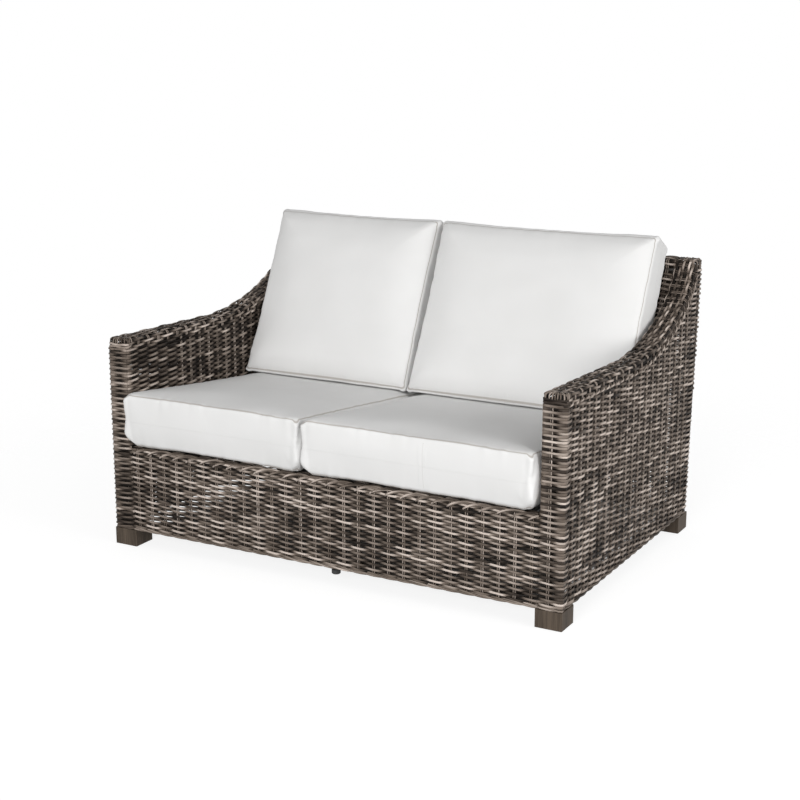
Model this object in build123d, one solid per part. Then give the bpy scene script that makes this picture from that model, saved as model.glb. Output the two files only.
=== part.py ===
"""Two seat outdoor loveseat: woven resin casing over a welded aluminium tube frame.

Millimetres. X runs across the seat, +X to a sitter's left hand, -Y is the front, +Z is up.
All shapes are worked out with y = 0 on the front face of the woven casing and x = 0 on the
centre line. The saved solids are moved back by half the depth, so that the origin lies
under the middle of the whole object, on the floor.
"""
from math import cos, pi, radians, sin, tan
import os

from build123d import *

# Overall sizes
overall_width = 1420.0
casing_depth = 950.0
arm_width = 70.0
arm_front_height = 617.0
arm_low_height = 603.0
arm_sweep_start = 480.0
back_height = 816.0
back_lean_out = 50.0

# Woven casing
weave_wall = 12.0
casing_bottom = 51.0
rim_top = 305.0
rim_depth_down = 22.0
rim_edge_radius = 10.0
corner_radius = 14.0
back_corner_radius = 11.0
cap_thickness = 28.0
cap_edge_radius = 15.0
back_cap_width = 70.0
border_height = 9.0
course_height = 14.9
course_groove = 3.0
course_groove_depth = 3.0
apron_top = rim_top - rim_depth_down
# Sweep of the arm's top line, as shares of its run and of its rise: two handle points
sweep_handle_shares = ((0.356, 0.011), (0.862, 0.372))
sweep_steps = 9

# Frame tubes
tube = 20.0
tube_wall = 1.5
slat_width = 38.0
slat_height = 25.0
slat_count = 9
back_seat_rail_depth = 40.0
seat_bearing = 0.3

# Seat and back planes
deck_rake = 4.1
seat_top_rake = 6.3
back_recline_depth = 250.0
back_seat_rail_bottom = 235.0
inner_back_setback = 5.0

# Feet
foot_side = 76.0
foot_edge = 2.0
pad_radius = 16.0
pad_height = 2.0
plate_side = 62.0
plate_thickness = 3.0
bolt_radius = 4.0
bolt_length = 44.0
bolt_grip = 14.0
bolt_inset = 45.0
bolt_hole_clearance = 0.3
nut_across_flats = 13.0
nut_height = 6.5
thread_clearance = 0.05

# Centre glide
glide_pad_radius = 12.5
glide_pad_height = 14.0
glide_pad_edge = 2.0
glide_floor_gap = 32.0
glide_stud_length = 62.0
glide_travel = 30.0
glide_offset = 33.0
lock_nut_height = 5.0
insert_clearance = 0.1

# Cushions
seat_split_offset = -47.0
back_split_offset = -60.0
cushion_side_gap = 2.0
cushion_join_gap = 3.0
soft_clearance = 0.4
cushion_corner = 20.0
seat_overhang = 35.0
seat_front_top = 466.0
seat_crown = 18.0
seat_crown_inset = 125.0
seat_foot_rise = 32.0
seat_foot_inset = 26.0
seat_draw_in = 5.0
seat_back_gap = 6.0
back_cushion_foot_ahead = 118.0
back_cushion_foot = 130.0
back_cushion_boxing = 105.0
back_cushion_top_ahead = 188.0
back_cushion_rise = 84.0
back_crown = 26.0
back_crown_inset = 140.0
back_rest_inset = 85.0
back_draw_in = 4.0
back_taper = 4.0
rest_steps = 4
crown_steps = 5

overrun = 40.0

half_width = overall_width / 2
arm_inner = half_width - arm_width
post_radius = tube / 2
post_inset = weave_wall + post_radius
outer_post_x = half_width - post_inset
inner_post_x = arm_inner + post_inset
back_post_y = casing_depth - post_inset
plate_top = casing_bottom + plate_thickness
base_rail_top = plate_top + tube
cap_bottom = back_height - cap_thickness
top_rail_bottom = cap_bottom - tube
casing_back_top = casing_depth + back_lean_out
front_rail_top = rim_top - weave_wall
deck_slope = tan(radians(deck_rake))
seat_top_slope = tan(radians(seat_top_rake))
deck_front = post_inset + post_radius
slat_pitch = 2 * arm_inner / slat_count
back_seat_rail_front = casing_depth - back_recline_depth
inner_back_foot = back_seat_rail_front + inner_back_setback
back_seat_rail_top = back_seat_rail_bottom + tube
inner_back_run = casing_back_top - back_cap_width - inner_back_foot
inner_back_slope = inner_back_run / (cap_bottom - back_seat_rail_top)
inner_back_skin = weave_wall * (1 + inner_back_slope ** 2) ** 0.5
back_cushion_front = back_seat_rail_front - back_cushion_foot_ahead
back_cushion_top_front = casing_back_top - back_cushion_top_ahead
back_cushion_top = back_height + back_cushion_rise
depth_shift = (seat_overhang - casing_back_top) / 2

os.makedirs("parts", exist_ok=True)


def save(name, *shapes):
    """Move finished shapes back by half the depth and write them as one piece or group."""
    moved = [Pos(0, depth_shift, 0) * shape for shape in shapes]
    export_step(Compound(children=moved) if moved[1:] else moved[0], f"parts/{name}.step")


def save_pair(name, right):
    """Write a right hand piece and its mirror image as the left hand one."""
    save(f"{name}_right", right)
    save(f"{name}_left", mirror(right, about=Plane.YZ))


def block(x_low, x_high, y_low, y_high, z_low, z_high):
    """Box between two corners."""
    middle = ((x_low + x_high) / 2, (y_low + y_high) / 2, (z_low + z_high) / 2)
    return Pos(*middle) * Box(x_high - x_low, y_high - y_low, z_high - z_low)


def side_face(points):
    """Flat face in the plane of the arms, from (y, z) points."""
    return make_face(Polyline(*[(0, y, z) for y, z in points], close=True))


def slab(face, x_low, x_high):
    """Thicken a side face from x_low to x_high."""
    return extrude(Pos(x_low, 0, 0) * face, x_high - x_low, dir=(1, 0, 0))


def cylinder_up(x, y, radius, z_low, z_high):
    """Upright round bar."""
    return Pos(x, y, (z_low + z_high) / 2) * Cylinder(radius, z_high - z_low)


def post_tube(x, y, z_low, z_high):
    """Upright round frame tube."""
    bore = cylinder_up(x, y, post_radius - tube_wall, z_low - overrun, z_high + overrun)
    return cylinder_up(x, y, post_radius, z_low, z_high) - bore


def rail_along_x(x_low, x_high, y_low, z_low, depth=tube):
    """Hollow box section tube that runs across the seat."""
    outside = block(x_low, x_high, y_low, y_low + depth, z_low, z_low + tube)
    bore = block(
        x_low - overrun, x_high + overrun,
        y_low + tube_wall, y_low + depth - tube_wall,
        z_low + tube_wall, z_low + tube - tube_wall,
    )
    return outside - bore


def deck_height(y):
    """Top of the seat slats at a depth y."""
    return rim_top - deck_slope * (y - deck_front)


def seat_seam_height(y):
    """Height of the seat cushions' top seam at a depth y."""
    return seat_front_top - seat_top_slope * (y + seat_overhang)


def outer_back_y(z):
    """Outer face of the woven back at a height z: it leans out towards the top."""
    return casing_depth + back_lean_out * (z - casing_bottom) / (back_height - casing_bottom)


def inner_back_y(z):
    """Front face of the inner woven back at a height z."""
    return inner_back_foot + inner_back_slope * (z - back_seat_rail_top)


def sweep_corners():
    """Four control points of the arm's sweep, from its low point up to the back cap."""
    end = (casing_back_top - back_cap_width, cap_bottom + tube_wall)
    run = end[0] - arm_sweep_start
    rise = end[1] - arm_low_height
    start = (arm_sweep_start, arm_low_height)
    handles = [(start[0] + a * run, start[1] + b * rise) for a, b in sweep_handle_shares]
    return [start, *handles, end]


def arm_line(drop):
    """Points of the arm's top line, moved down square to itself by drop.

    The line falls gently from the front to the low point, then follows a cubic curve.
    """
    fall = (arm_low_height - arm_front_height) / arm_sweep_start
    steps = [(y, arm_front_height + fall * y, 1.0, fall) for y in (-overrun, 0.0, arm_sweep_start / 2)]
    a, b, c, d = sweep_corners()
    for step in range(sweep_steps):
        t = step / (sweep_steps - 1)
        s = 1 - t
        y = s ** 3 * a[0] + 3 * s * s * t * b[0] + 3 * s * t * t * c[0] + t ** 3 * d[0]
        z = s ** 3 * a[1] + 3 * s * s * t * b[1] + 3 * s * t * t * c[1] + t ** 3 * d[1]
        run = s * s * (b[0] - a[0]) + 2 * s * t * (c[0] - b[0]) + t * t * (d[0] - c[0])
        rise = s * s * (b[1] - a[1]) + 2 * s * t * (c[1] - b[1]) + t * t * (d[1] - c[1])
        steps.append((y, z, run, rise))
    y, z, run, rise = steps[-1]
    length = (run * run + rise * rise) ** 0.5
    steps.append((y + overrun * run / length, z + overrun * rise / length, run, rise))
    points = []
    for y, z, run, rise in steps:
        length = (run * run + rise * rise) ** 0.5
        points.append((y + drop * rise / length, z - drop * run / length))
    return points


def under_arm(drop):
    """Side face of all that lies below the arm's top line, moved down by drop."""
    points = arm_line(drop)
    first = points[0]
    last = points[-1]
    curve = Spline(*[(0, y, z) for y, z in points])
    edges = [
        curve,
        Line((0, *last), (0, last[0], 0)),
        Line((0, last[0], 0), (0, first[0], 0)),
        Line((0, first[0], 0), (0, *first)),
    ]
    return make_face(Wire(edges))


def arm_band(shallow, deep):
    """Side face between two lines that follow the arm's top."""
    return under_arm(shallow) - under_arm(deep)


def ahead_of_back():
    """Everything between the woven front and the front of the back cap."""
    return block(0, half_width + overrun, 0, cap_end_y, 0, back_height + overrun)


def arm_cap_blank():
    """One arm cap before its edges are rounded."""
    return slab(arm_band(0, cap_thickness), arm_inner, half_width) & ahead_of_back()


under_cap = under_arm(cap_thickness)
cap_end_y = casing_back_top - back_cap_width


def feet():
    """Four feet with their pads, plates, bolts and nuts, one set in each corner."""
    plates = []
    bolts = []
    nuts = []
    places = [
        (f"{depth_name}_{side_name}", side, front)
        for side_name, side in (("left", -1), ("right", 1))
        for depth_name, front in (("front", True), ("back", False))
    ]
    for name, side, front in places:
        foot_x = side * (half_width - foot_side / 2)
        foot_y = foot_side / 2 if front else casing_depth - foot_side / 2
        bolt_x = side * (half_width - bolt_inset)
        bolt_y = bolt_inset if front else casing_depth - bolt_inset
        plate_x = side * (half_width - weave_wall - plate_side / 2)
        plate_y = weave_wall + plate_side / 2
        if not front:
            plate_y = casing_depth - plate_y
        bolt_low = casing_bottom - bolt_length + bolt_grip
        foot = block(
            foot_x - foot_side / 2, foot_x + foot_side / 2,
            foot_y - foot_side / 2, foot_y + foot_side / 2,
            pad_height, casing_bottom,
        )
        foot = chamfer(foot.edges().filter_by(Axis.Z), foot_edge)
        hole = bolt_radius + bolt_hole_clearance
        foot -= cylinder_up(bolt_x, bolt_y, hole, bolt_low, casing_bottom + overrun)
        save(f"foot_{name}", foot)
        save(f"foot_pad_{name}", cylinder_up(foot_x, foot_y, pad_radius, 0, pad_height))
        plate = block(
            plate_x - plate_side / 2, plate_x + plate_side / 2,
            plate_y - plate_side / 2, plate_y + plate_side / 2,
            casing_bottom, plate_top,
        )
        plate = fillet(plate.edges().filter_by(Axis.Z), post_radius)
        plates.append(plate - cylinder_up(bolt_x, bolt_y, hole, 0, plate_top + overrun))
        bolts.append(cylinder_up(bolt_x, bolt_y, bolt_radius, bolt_low, casing_bottom + bolt_grip))
        nuts.append(nut(bolt_x, bolt_y, plate_top, nut_height))
    save("foot_plates", *plates)
    save("foot_bolts", *bolts)
    save("foot_nuts", *nuts)


def nut(x, y, z_low, height):
    """Hexagon nut on the foot and glide thread."""
    hexagon = RegularPolygon(nut_across_flats / 2, 6, major_radius=False)
    body = Pos(x, y, z_low) * extrude(hexagon, height)
    return body - cylinder_up(x, y, bolt_radius + thread_clearance, 0, z_low + height + overrun)


def slab_region(side, points):
    """Thick side block across one arm, used to trim tubes to a sloping line."""
    low = arm_inner - overrun if side > 0 else -half_width - overrun
    high = half_width + overrun if side > 0 else -arm_inner + overrun
    return slab(side_face(points), low, high)


def frame_posts():
    """Round corner posts: front pairs up to the arm caps, back pairs up to their rails."""
    below_cap = slab(under_cap, 0, half_width + overrun)
    for name, x in (("outer", outer_post_x), ("inner", inner_post_x)):
        post = post_tube(x, post_inset, plate_top, arm_front_height + overrun)
        save_pair(f"front_post_{name}", post & below_cap)
    side_rail_low = slab_region(1, [
        (0, 0),
        (casing_depth, 0),
        (casing_depth, deck_height(casing_depth) - tube),
        (0, deck_height(0) - tube),
    ])
    back_inner = post_tube(inner_post_x, back_post_y, plate_top, rim_top)
    save_pair("back_post_inner", back_inner & side_rail_low)
    save_pair("back_post_outer", back_outer_post())


def back_outer_post():
    """Tall round post that leans with the outer back."""
    rise = top_rail_bottom - plate_top
    slide = outer_back_y(top_rail_bottom) - outer_back_y(plate_top)
    length = (rise * rise + slide * slide) ** 0.5
    foot = Pos(outer_post_x, outer_back_y(plate_top) - post_inset, plate_top)
    ring = Circle(post_radius) - Circle(post_radius - tube_wall)
    return extrude(foot * ring, length, dir=(0, slide / length, rise / length))


def base_rails():
    """Four tubes low down, round the foot of the casing."""
    x_run = inner_post_x
    front = rail_along_x(-x_run, x_run, weave_wall, plate_top)
    back = rail_along_x(-x_run, x_run, back_post_y - post_radius, plate_top)
    for side in (-1, 1):
        reach = base_rail_top + overrun
        front -= cylinder_up(side * inner_post_x, post_inset, post_radius, 0, reach)
        back -= cylinder_up(side * inner_post_x, back_post_y, post_radius, 0, reach)
    stud_hole = bolt_radius + bolt_hole_clearance
    front -= cylinder_up(glide_offset, post_inset, stud_hole, 0, base_rail_top + overrun)
    save("base_rail_front", front)
    save("base_rail_back", back)
    low = outer_post_x - post_radius
    side = block(low, low + tube, post_inset, back_post_y, plate_top, base_rail_top)
    side -= block(
        low + tube_wall, low + tube - tube_wall,
        post_inset - overrun, back_post_y + overrun,
        plate_top + tube_wall, base_rail_top - tube_wall,
    )
    side -= cylinder_up(outer_post_x, post_inset, post_radius, 0, base_rail_top + overrun)
    side -= back_outer_post_core()
    save_pair("base_rail", side)


def back_outer_post_core():
    """The leaning post as a full bar, used to cut the tubes that meet it."""
    rise = top_rail_bottom - plate_top
    slide = outer_back_y(top_rail_bottom) - outer_back_y(plate_top)
    length = (rise * rise + slide * slide) ** 0.5
    foot = Pos(outer_post_x, outer_back_y(plate_top) - post_inset, plate_top)
    return extrude(foot * Circle(post_radius), length, dir=(0, slide / length, rise / length))


def seat_rails():
    """Seat frame: front and back tubes, two sloping side tubes and the slats."""
    front = rail_along_x(-inner_post_x, inner_post_x, weave_wall, front_rail_top - tube)
    for side in (-1, 1):
        front -= cylinder_up(side * inner_post_x, post_inset, post_radius, 0, rim_top + overrun)
    save("seat_rail_front", front)
    reach = inner_post_x - post_radius
    back = rail_along_x(-reach, reach, back_seat_rail_front, back_seat_rail_bottom, back_seat_rail_depth)
    save("seat_rail_back", back)

    def sloping(y_low, y_high, height):
        return side_face([
            (y_low, deck_height(y_low) - height),
            (y_high, deck_height(y_high) - height),
            (y_high, deck_height(y_high)),
            (y_low, deck_height(y_low)),
        ])

    def hollow(y_low, y_high, height):
        return Pos(0, 0, -tube_wall) * side_face([
            (y_low - overrun, deck_height(y_low - overrun) - height + 2 * tube_wall),
            (y_high + overrun, deck_height(y_high + overrun) - height + 2 * tube_wall),
            (y_high + overrun, deck_height(y_high + overrun)),
            (y_low - overrun, deck_height(y_low - overrun)),
        ])

    ends = (post_inset, back_post_y + post_radius)
    side_rail = slab(sloping(*ends, tube), reach, reach + tube)
    side_rail -= slab(hollow(*ends, tube), reach + tube_wall, reach + tube - tube_wall)
    side_rail -= cylinder_up(inner_post_x, post_inset, post_radius, 0, rim_top + overrun)
    side_rail -= block(0, inner_post_x, 0, deck_front, 0, front_rail_top)
    save_pair("seat_rail", side_rail)

    slat_face = sloping(deck_front, back_seat_rail_front, slat_height)
    slat_bore = hollow(deck_front, back_seat_rail_front, slat_height)
    slats = []
    for index in range(slat_count):
        x = (index - (slat_count - 1) / 2) * slat_pitch
        slat = slab(slat_face, x - slat_width / 2, x + slat_width / 2)
        bore_half = slat_width / 2 - tube_wall
        slats.append(slat - slab(slat_bore, x - bore_half, x + bore_half))
    save("seat_slats", *slats)


def back_stays():
    """Leaning stays behind the inner back, and the two rails along its top."""
    def stay_y(z):
        return inner_back_y(z) + inner_back_skin

    def stay(x_low, z_low):
        z_top = top_rail_bottom
        outside = slab(side_face([
            (stay_y(z_low), z_low),
            (stay_y(z_low) + tube, z_low),
            (stay_y(z_top) + tube, z_top),
            (stay_y(z_top), z_top),
        ]), x_low, x_low + tube)
        bore = slab(side_face([
            (stay_y(z_low - overrun) + tube_wall, z_low - overrun),
            (stay_y(z_low - overrun) + tube - tube_wall, z_low - overrun),
            (stay_y(z_top + overrun) + tube - tube_wall, z_top + overrun),
            (stay_y(z_top + overrun) + tube_wall, z_top + overrun),
        ]), x_low + tube_wall, x_low + tube - tube_wall)
        return outside - bore

    save("back_stay_centre", stay(-tube / 2, back_seat_rail_top))
    side_x = inner_post_x - post_radius
    above_side_rail = slab(side_face([
        (0, deck_height(0)),
        (casing_depth, deck_height(casing_depth)),
        (casing_depth, back_height),
        (0, back_height),
    ]), side_x - overrun, side_x + overrun)
    side_stay = stay(side_x, back_seat_rail_bottom) & above_side_rail
    save_pair("back_stay", side_stay - arm_cap_blank())
    reach = half_width - weave_wall
    outer_y = outer_back_y(top_rail_bottom) - weave_wall - tube
    save("back_top_rail", rail_along_x(-reach, reach, outer_y, top_rail_bottom))
    save("back_inner_rail", rail_along_x(-reach, reach, stay_y(top_rail_bottom), top_rail_bottom))


def arm_rails():
    """Curved tubes under each arm cap: one over the outer posts, one over the inner."""
    def bent_tube(x_low):
        outside = slab(arm_band(cap_thickness, cap_thickness + tube), x_low, x_low + tube)
        bore_band = arm_band(cap_thickness + tube_wall, cap_thickness + tube - tube_wall)
        bore = slab(bore_band, x_low + tube_wall, x_low + tube - tube_wall)
        length = slab(side_face([
            (post_inset, 0),
            (outer_back_y(0) - post_inset, 0),
            (outer_back_y(top_rail_bottom) - post_inset, top_rail_bottom),
            (post_inset, top_rail_bottom),
        ]), x_low - overrun, x_low + tube + overrun)
        return (outside - bore) & length

    outer = bent_tube(outer_post_x - post_radius)
    outer -= cylinder_up(outer_post_x, post_inset, post_radius, 0, back_height)
    outer -= back_outer_post_core()
    save_pair("arm_rail_outer", outer)
    inner = bent_tube(inner_post_x - post_radius)
    inner -= cylinder_up(inner_post_x, post_inset, post_radius, 0, back_height)

    def stay_front(z):
        return inner_back_y(z) + inner_back_skin

    inner &= slab(side_face([
        (0, 0),
        (stay_front(0), 0),
        (stay_front(back_height), back_height),
        (0, back_height),
    ]), arm_inner - overrun, half_width + overrun)
    save_pair("arm_rail_inner", inner)


def centre_glide():
    """Support under the middle of the front: post, insert, stud, lock nut and pad."""
    post = block(
        glide_offset - tube / 2, glide_offset + tube / 2,
        post_inset - tube / 2, post_inset + tube / 2,
        base_rail_top, front_rail_top - tube,
    )
    bore = tube / 2 - tube_wall
    post -= block(
        glide_offset - bore, glide_offset + bore,
        post_inset - bore, post_inset + bore,
        0, back_height,
    )
    save("centre_post", post)
    half_insert = bore - insert_clearance
    insert = block(
        glide_offset - half_insert, glide_offset + half_insert,
        post_inset - half_insert, post_inset + half_insert,
        plate_top + tube_wall, base_rail_top - tube_wall,
    )
    insert -= cylinder_up(glide_offset, post_inset, bolt_radius + thread_clearance, 0, back_height)
    save("glide_insert", insert)
    nut_low = plate_top - lock_nut_height
    save("glide_lock_nut", nut(glide_offset, post_inset, nut_low, lock_nut_height))
    pad_top = glide_floor_gap + glide_pad_height
    pad = cylinder_up(glide_offset, post_inset, glide_pad_radius, glide_floor_gap, pad_top)
    pad = chamfer(pad.edges().filter_by(GeomType.CIRCLE), glide_pad_edge)
    save("glide_pad", pad)
    stud_top = pad_top + glide_stud_length
    save("glide_stud", cylinder_up(glide_offset, post_inset, bolt_radius, pad_top, stud_top))


def course_levels(z_low, z_high):
    """Heights of the gaps between the weave's courses, from one height up to another."""
    count = int((back_height - casing_bottom) / course_height)
    levels = [casing_bottom + border_height + course_height * index for index in range(count)]
    return [z for z in levels if z_low + course_groove < z < z_high - course_groove]


def course_ring(x_low, inset):
    """Flat plate with round front corners, as large as the walls' outline less an inset."""
    plate = block(
        x_low + inset, half_width - inset,
        inset, 2 * casing_depth,
        -course_groove / 2, course_groove / 2,
    )
    front_corners = plate.edges().filter_by(Axis.Z).sort_by(Axis.Y)[:2]
    return fillet(front_corners, corner_radius - inset)


def course_grooves(x_low, z_low, z_high):
    """Level grooves round the outside of the front and side walls, one for each gap."""
    ring = course_ring(x_low, 0) - course_ring(x_low, course_groove_depth)
    return [Pos(0, 0, z) * ring for z in course_levels(z_low, z_high)]


def front_weave():
    """Woven front: the apron, its braided rim and the two arm fronts."""
    low_grooves = course_grooves(-half_width, casing_bottom, apron_top)
    apron = block(-arm_inner, arm_inner, 0, weave_wall, casing_bottom, apron_top)
    save("front_apron", apron - low_grooves)
    rim = block(-arm_inner, arm_inner, 0, deck_front, front_rail_top, rim_top)
    rim += block(-arm_inner, arm_inner, 0, weave_wall, apron_top, rim_top)
    top_front = rim.edges().filter_by(Axis.X).sort_by(Axis.Z)[-2:].sort_by(Axis.Y)[0]
    save("front_rim", fillet(top_front, rim_edge_radius))

    def bend(x, way, z_low, z_high):
        x_far = x + way * post_inset
        corner = block(min(x, x_far), max(x, x_far), 0, post_inset, z_low, z_high)
        upright = corner.edges().filter_by(Axis.Z).group_by(Axis.Y)[0].sort_by(Axis.X)
        corner = fillet(upright[-1] if way > 0 else upright[0], corner_radius)
        return corner - cylinder_up(x, post_inset, post_radius, z_low - overrun, z_high + overrun)

    top = arm_front_height
    plain = block(arm_inner, outer_post_x, 0, weave_wall, casing_bottom, rim_top)
    upper = block(inner_post_x, outer_post_x, 0, weave_wall, rim_top, top)
    arm_front = plain + upper
    arm_front += bend(outer_post_x, 1, casing_bottom, top)
    arm_front += bend(inner_post_x, -1, rim_top, top)
    arm_front &= slab(under_cap, 0, half_width + overrun)
    high_grooves = course_grooves(arm_inner, rim_top, arm_front_height - cap_thickness)
    arm_front -= low_grooves
    save_pair("arm_front", arm_front - high_grooves)


def side_weave():
    """Woven arm sides: the tall outer one and the inner one above the seat deck."""
    back_inside = [(outer_back_y(z) - weave_wall, z) for z in (casing_bottom, cap_bottom)]
    silhouette = side_face([(post_inset, casing_bottom), *back_inside, (post_inset, cap_bottom)])
    tail = side_face([
        (cap_end_y, 0),
        (casing_back_top, 0),
        (casing_back_top, cap_bottom),
        (cap_end_y, cap_bottom),
    ])
    body = slab(under_cap, arm_inner, half_width) + slab(tail, arm_inner, half_width)
    outer = slab(silhouette, half_width - weave_wall, half_width) & body
    outer -= arm_cap_blank()
    save_pair("arm_outer_side", outer - course_grooves(arm_inner, casing_bottom, cap_bottom))
    drop = weave_wall
    inner_shape = side_face([
        (post_inset, deck_height(post_inset) - drop),
        (back_seat_rail_front, deck_height(back_seat_rail_front) - drop),
        (back_seat_rail_front, back_seat_rail_top),
        (inner_back_foot, back_seat_rail_top),
        (inner_back_y(cap_bottom), cap_bottom),
        (post_inset, cap_bottom),
    ])
    inner = slab(inner_shape, arm_inner, arm_inner + weave_wall)
    save_pair("arm_inner_side", inner & slab(under_cap, arm_inner, half_width))


def arm_caps():
    """Braided cap over each arm, swept up into the back, with round edges."""
    cap = arm_cap_blank()
    long_edges = [
        edge for edge in cap.edges()
        if edge.length > arm_sweep_start and edge.center().Z > arm_low_height - cap_thickness / 2
    ]
    front_edge = cap.edges().group_by(Axis.Y)[0].sort_by(Axis.Z)[-1]
    save_pair("arm_cap", fillet([*long_edges, front_edge], cap_edge_radius))


def back_weave():
    """Woven back: leaning outer face, inner face behind the cushions, and the cap."""
    outer = slab(side_face([
        (outer_back_y(casing_bottom) - weave_wall, casing_bottom),
        (outer_back_y(casing_bottom), casing_bottom),
        (outer_back_y(cap_bottom), cap_bottom),
        (outer_back_y(cap_bottom) - weave_wall, cap_bottom),
    ]), -half_width, half_width)
    upright = outer.edges().group_by(Axis.X)
    far_edges = [max(group, key=lambda edge: edge.center().Y) for group in (upright[0], upright[-1])]
    outer = fillet(far_edges, back_corner_radius)
    grooves = [
        block(
            -half_width, half_width,
            outer_back_y(z) - course_groove_depth, casing_back_top + overrun,
            z - course_groove / 2, z + course_groove / 2,
        )
        for z in course_levels(casing_bottom, cap_bottom)
    ]
    save("back_outer", outer - grooves)
    inner = slab(side_face([
        (inner_back_y(back_seat_rail_top), back_seat_rail_top),
        (inner_back_y(back_seat_rail_top) + inner_back_skin, back_seat_rail_top),
        (inner_back_y(cap_bottom) + inner_back_skin, cap_bottom),
        (inner_back_y(cap_bottom), cap_bottom),
    ]), -arm_inner, arm_inner)
    inner -= block(
        -half_width, half_width,
        inner_back_y(top_rail_bottom) + inner_back_skin, casing_back_top,
        top_rail_bottom, cap_bottom,
    )
    save("back_inner", inner)
    cap = block(-half_width, half_width, cap_end_y, casing_back_top, cap_bottom, back_height)
    top_edges = cap.edges().group_by(Axis.Z)[-1]
    save("back_cap", fillet(top_edges, cap_edge_radius))


def blend_line(first, second, share):
    """Line in the side plane, part of the way from one line to another."""
    return [
        tuple(a + (b - a) * share for a, b in zip(start, end))
        for start, end in zip(first, second)
    ]


def outline(x_low, x_high, line, inset, draws, taper):
    """One closed outline of a cushion, in the plane through X and a (y, z) line.

    Round corners, and sides that are arcs drawn in by their own amount. draws gives them
    for the low end, the sides and the high end of the line.
    """
    (y0, z0), (y1, z1) = line
    length = ((y1 - y0) ** 2 + (z1 - z0) ** 2) ** 0.5
    along = ((y1 - y0) / length, (z1 - z0) / length)

    def point(x, v):
        return (x, y0 + along[0] * v, z0 + along[1] * v)

    low_draw, side_draw, high_draw = draws
    left = x_low + inset
    right = x_high - inset
    bottom = inset
    top = length - inset
    round_off = cushion_corner
    slant = taper * round_off / length
    pull = round_off * (1 - cos(pi / 4))
    middle = (x_low + x_high) / 2
    half_way = (bottom + top) / 2

    def side(start, draw_point, end, draw):
        return ThreePointArc(start, draw_point, end) if draw > 0 else Line(start, end)

    edges = [
        side(
            point(left + round_off, bottom),
            point(middle, bottom + low_draw),
            point(right - round_off, bottom), low_draw,
        ),
        ThreePointArc(
            point(right - round_off, bottom),
            point(right - pull - slant / 2, bottom + pull),
            point(right - slant, bottom + round_off),
        ),
        side(
            point(right - slant, bottom + round_off),
            point(right - taper / 2 - side_draw, half_way),
            point(right - taper + slant, top - round_off), side_draw,
        ),
        ThreePointArc(
            point(right - taper + slant, top - round_off),
            point(right - taper - pull + slant / 2, top - pull),
            point(right - taper - round_off, top),
        ),
        side(
            point(right - taper - round_off, top),
            point(middle, top - high_draw),
            point(left + taper + round_off, top), high_draw,
        ),
        ThreePointArc(
            point(left + taper + round_off, top),
            point(left + taper + pull - slant / 2, top - pull),
            point(left + taper - slant, top - round_off),
        ),
        side(
            point(left + taper - slant, top - round_off),
            point(left + taper / 2 + side_draw, half_way),
            point(left + slant, bottom + round_off), side_draw,
        ),
        ThreePointArc(
            point(left + slant, bottom + round_off),
            point(left + pull + slant / 2, bottom + pull),
            point(left + round_off, bottom),
        ),
    ]
    return make_face(Wire(edges))


def cushion(x_low, x_high, lines, insets, draws, taper):
    """Boxed cushion lofted from its resting face, through both seams, to its crown.

    lines holds the resting line, the two seam lines and the crown line. The resting edge
    and the crown both round off along quarter ellipses.
    """
    rest, low_seam, high_seam, crown = lines
    rest_inset, crown_inset = insets
    sections = []
    for step in range(rest_steps):
        angle = pi / 2 * step / (rest_steps - 1)
        line = blend_line(rest, low_seam, 1 - cos(angle))
        sections.append(outline(x_low, x_high, line, rest_inset * (1 - sin(angle)), draws, taper))
    for step in range(crown_steps):
        angle = pi / 2 * step / (crown_steps - 1)
        line = blend_line(high_seam, crown, sin(angle))
        sections.append(outline(x_low, x_high, line, crown_inset * (1 - cos(angle)), draws, taper))
    return loft(sections, ruled=True)


def seat_cushion(x_low, x_high):
    """Boxed seat cushion: its back edge follows the slope of the inner back."""
    def line(height_at):
        slope = (height_at(casing_depth) - height_at(0)) / casing_depth
        y = (inner_back_y(height_at(0)) - seat_back_gap) / (1 - inner_back_slope * slope)
        return [(-seat_overhang, height_at(-seat_overhang)), (y, height_at(y))]

    def rest_height(y):
        return deck_height(y) + seat_bearing

    def low_seam_height(y):
        return rest_height(y) + seat_foot_rise

    def crown_height(y):
        return seat_seam_height(y) + seat_crown

    lines = [line(rest_height), line(low_seam_height), line(seat_seam_height), line(crown_height)]
    insets = (seat_foot_inset, seat_crown_inset)
    return cushion(x_low, x_high, lines, insets, (seat_draw_in, seat_draw_in, seat_draw_in), 0)


def back_cushion(x_low, x_high):
    """Boxed back cushion: it stands on the seat cushion and leans on the inner back."""
    def foot(y):
        return (y, seat_seam_height(y) + seat_crown + soft_clearance)

    front_foot = foot(back_cushion_front)
    front_top = (back_cushion_top_front, back_cushion_top)
    run = front_top[0] - front_foot[0]
    rise = front_top[1] - front_foot[1]
    length = (run * run + rise * rise) ** 0.5
    square = (rise / length, -run / length)
    back_foot = foot(back_cushion_front + back_cushion_foot)
    back_top = tuple(a + b * back_cushion_boxing for a, b in zip(front_top, square))
    front_seam = [front_foot, front_top]
    back_seam = [back_foot, back_top]
    crown = [(y - square[0] * back_crown, z - square[1] * back_crown) for y, z in front_seam]

    def resting(point):
        tilt = (1 + inner_back_slope ** 2) ** 0.5
        y, z = point
        ahead = (inner_back_y(z) - soft_clearance * tilt - y) / tilt
        return (y + ahead / tilt, z - ahead * inner_back_slope / tilt)

    rest = [resting(back_foot), resting(back_top)]
    draws = (0, back_draw_in, back_draw_in)
    insets = (back_rest_inset, back_crown_inset)
    return cushion(x_low, x_high, [rest, back_seam, front_seam, crown], insets, draws, back_taper)


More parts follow.
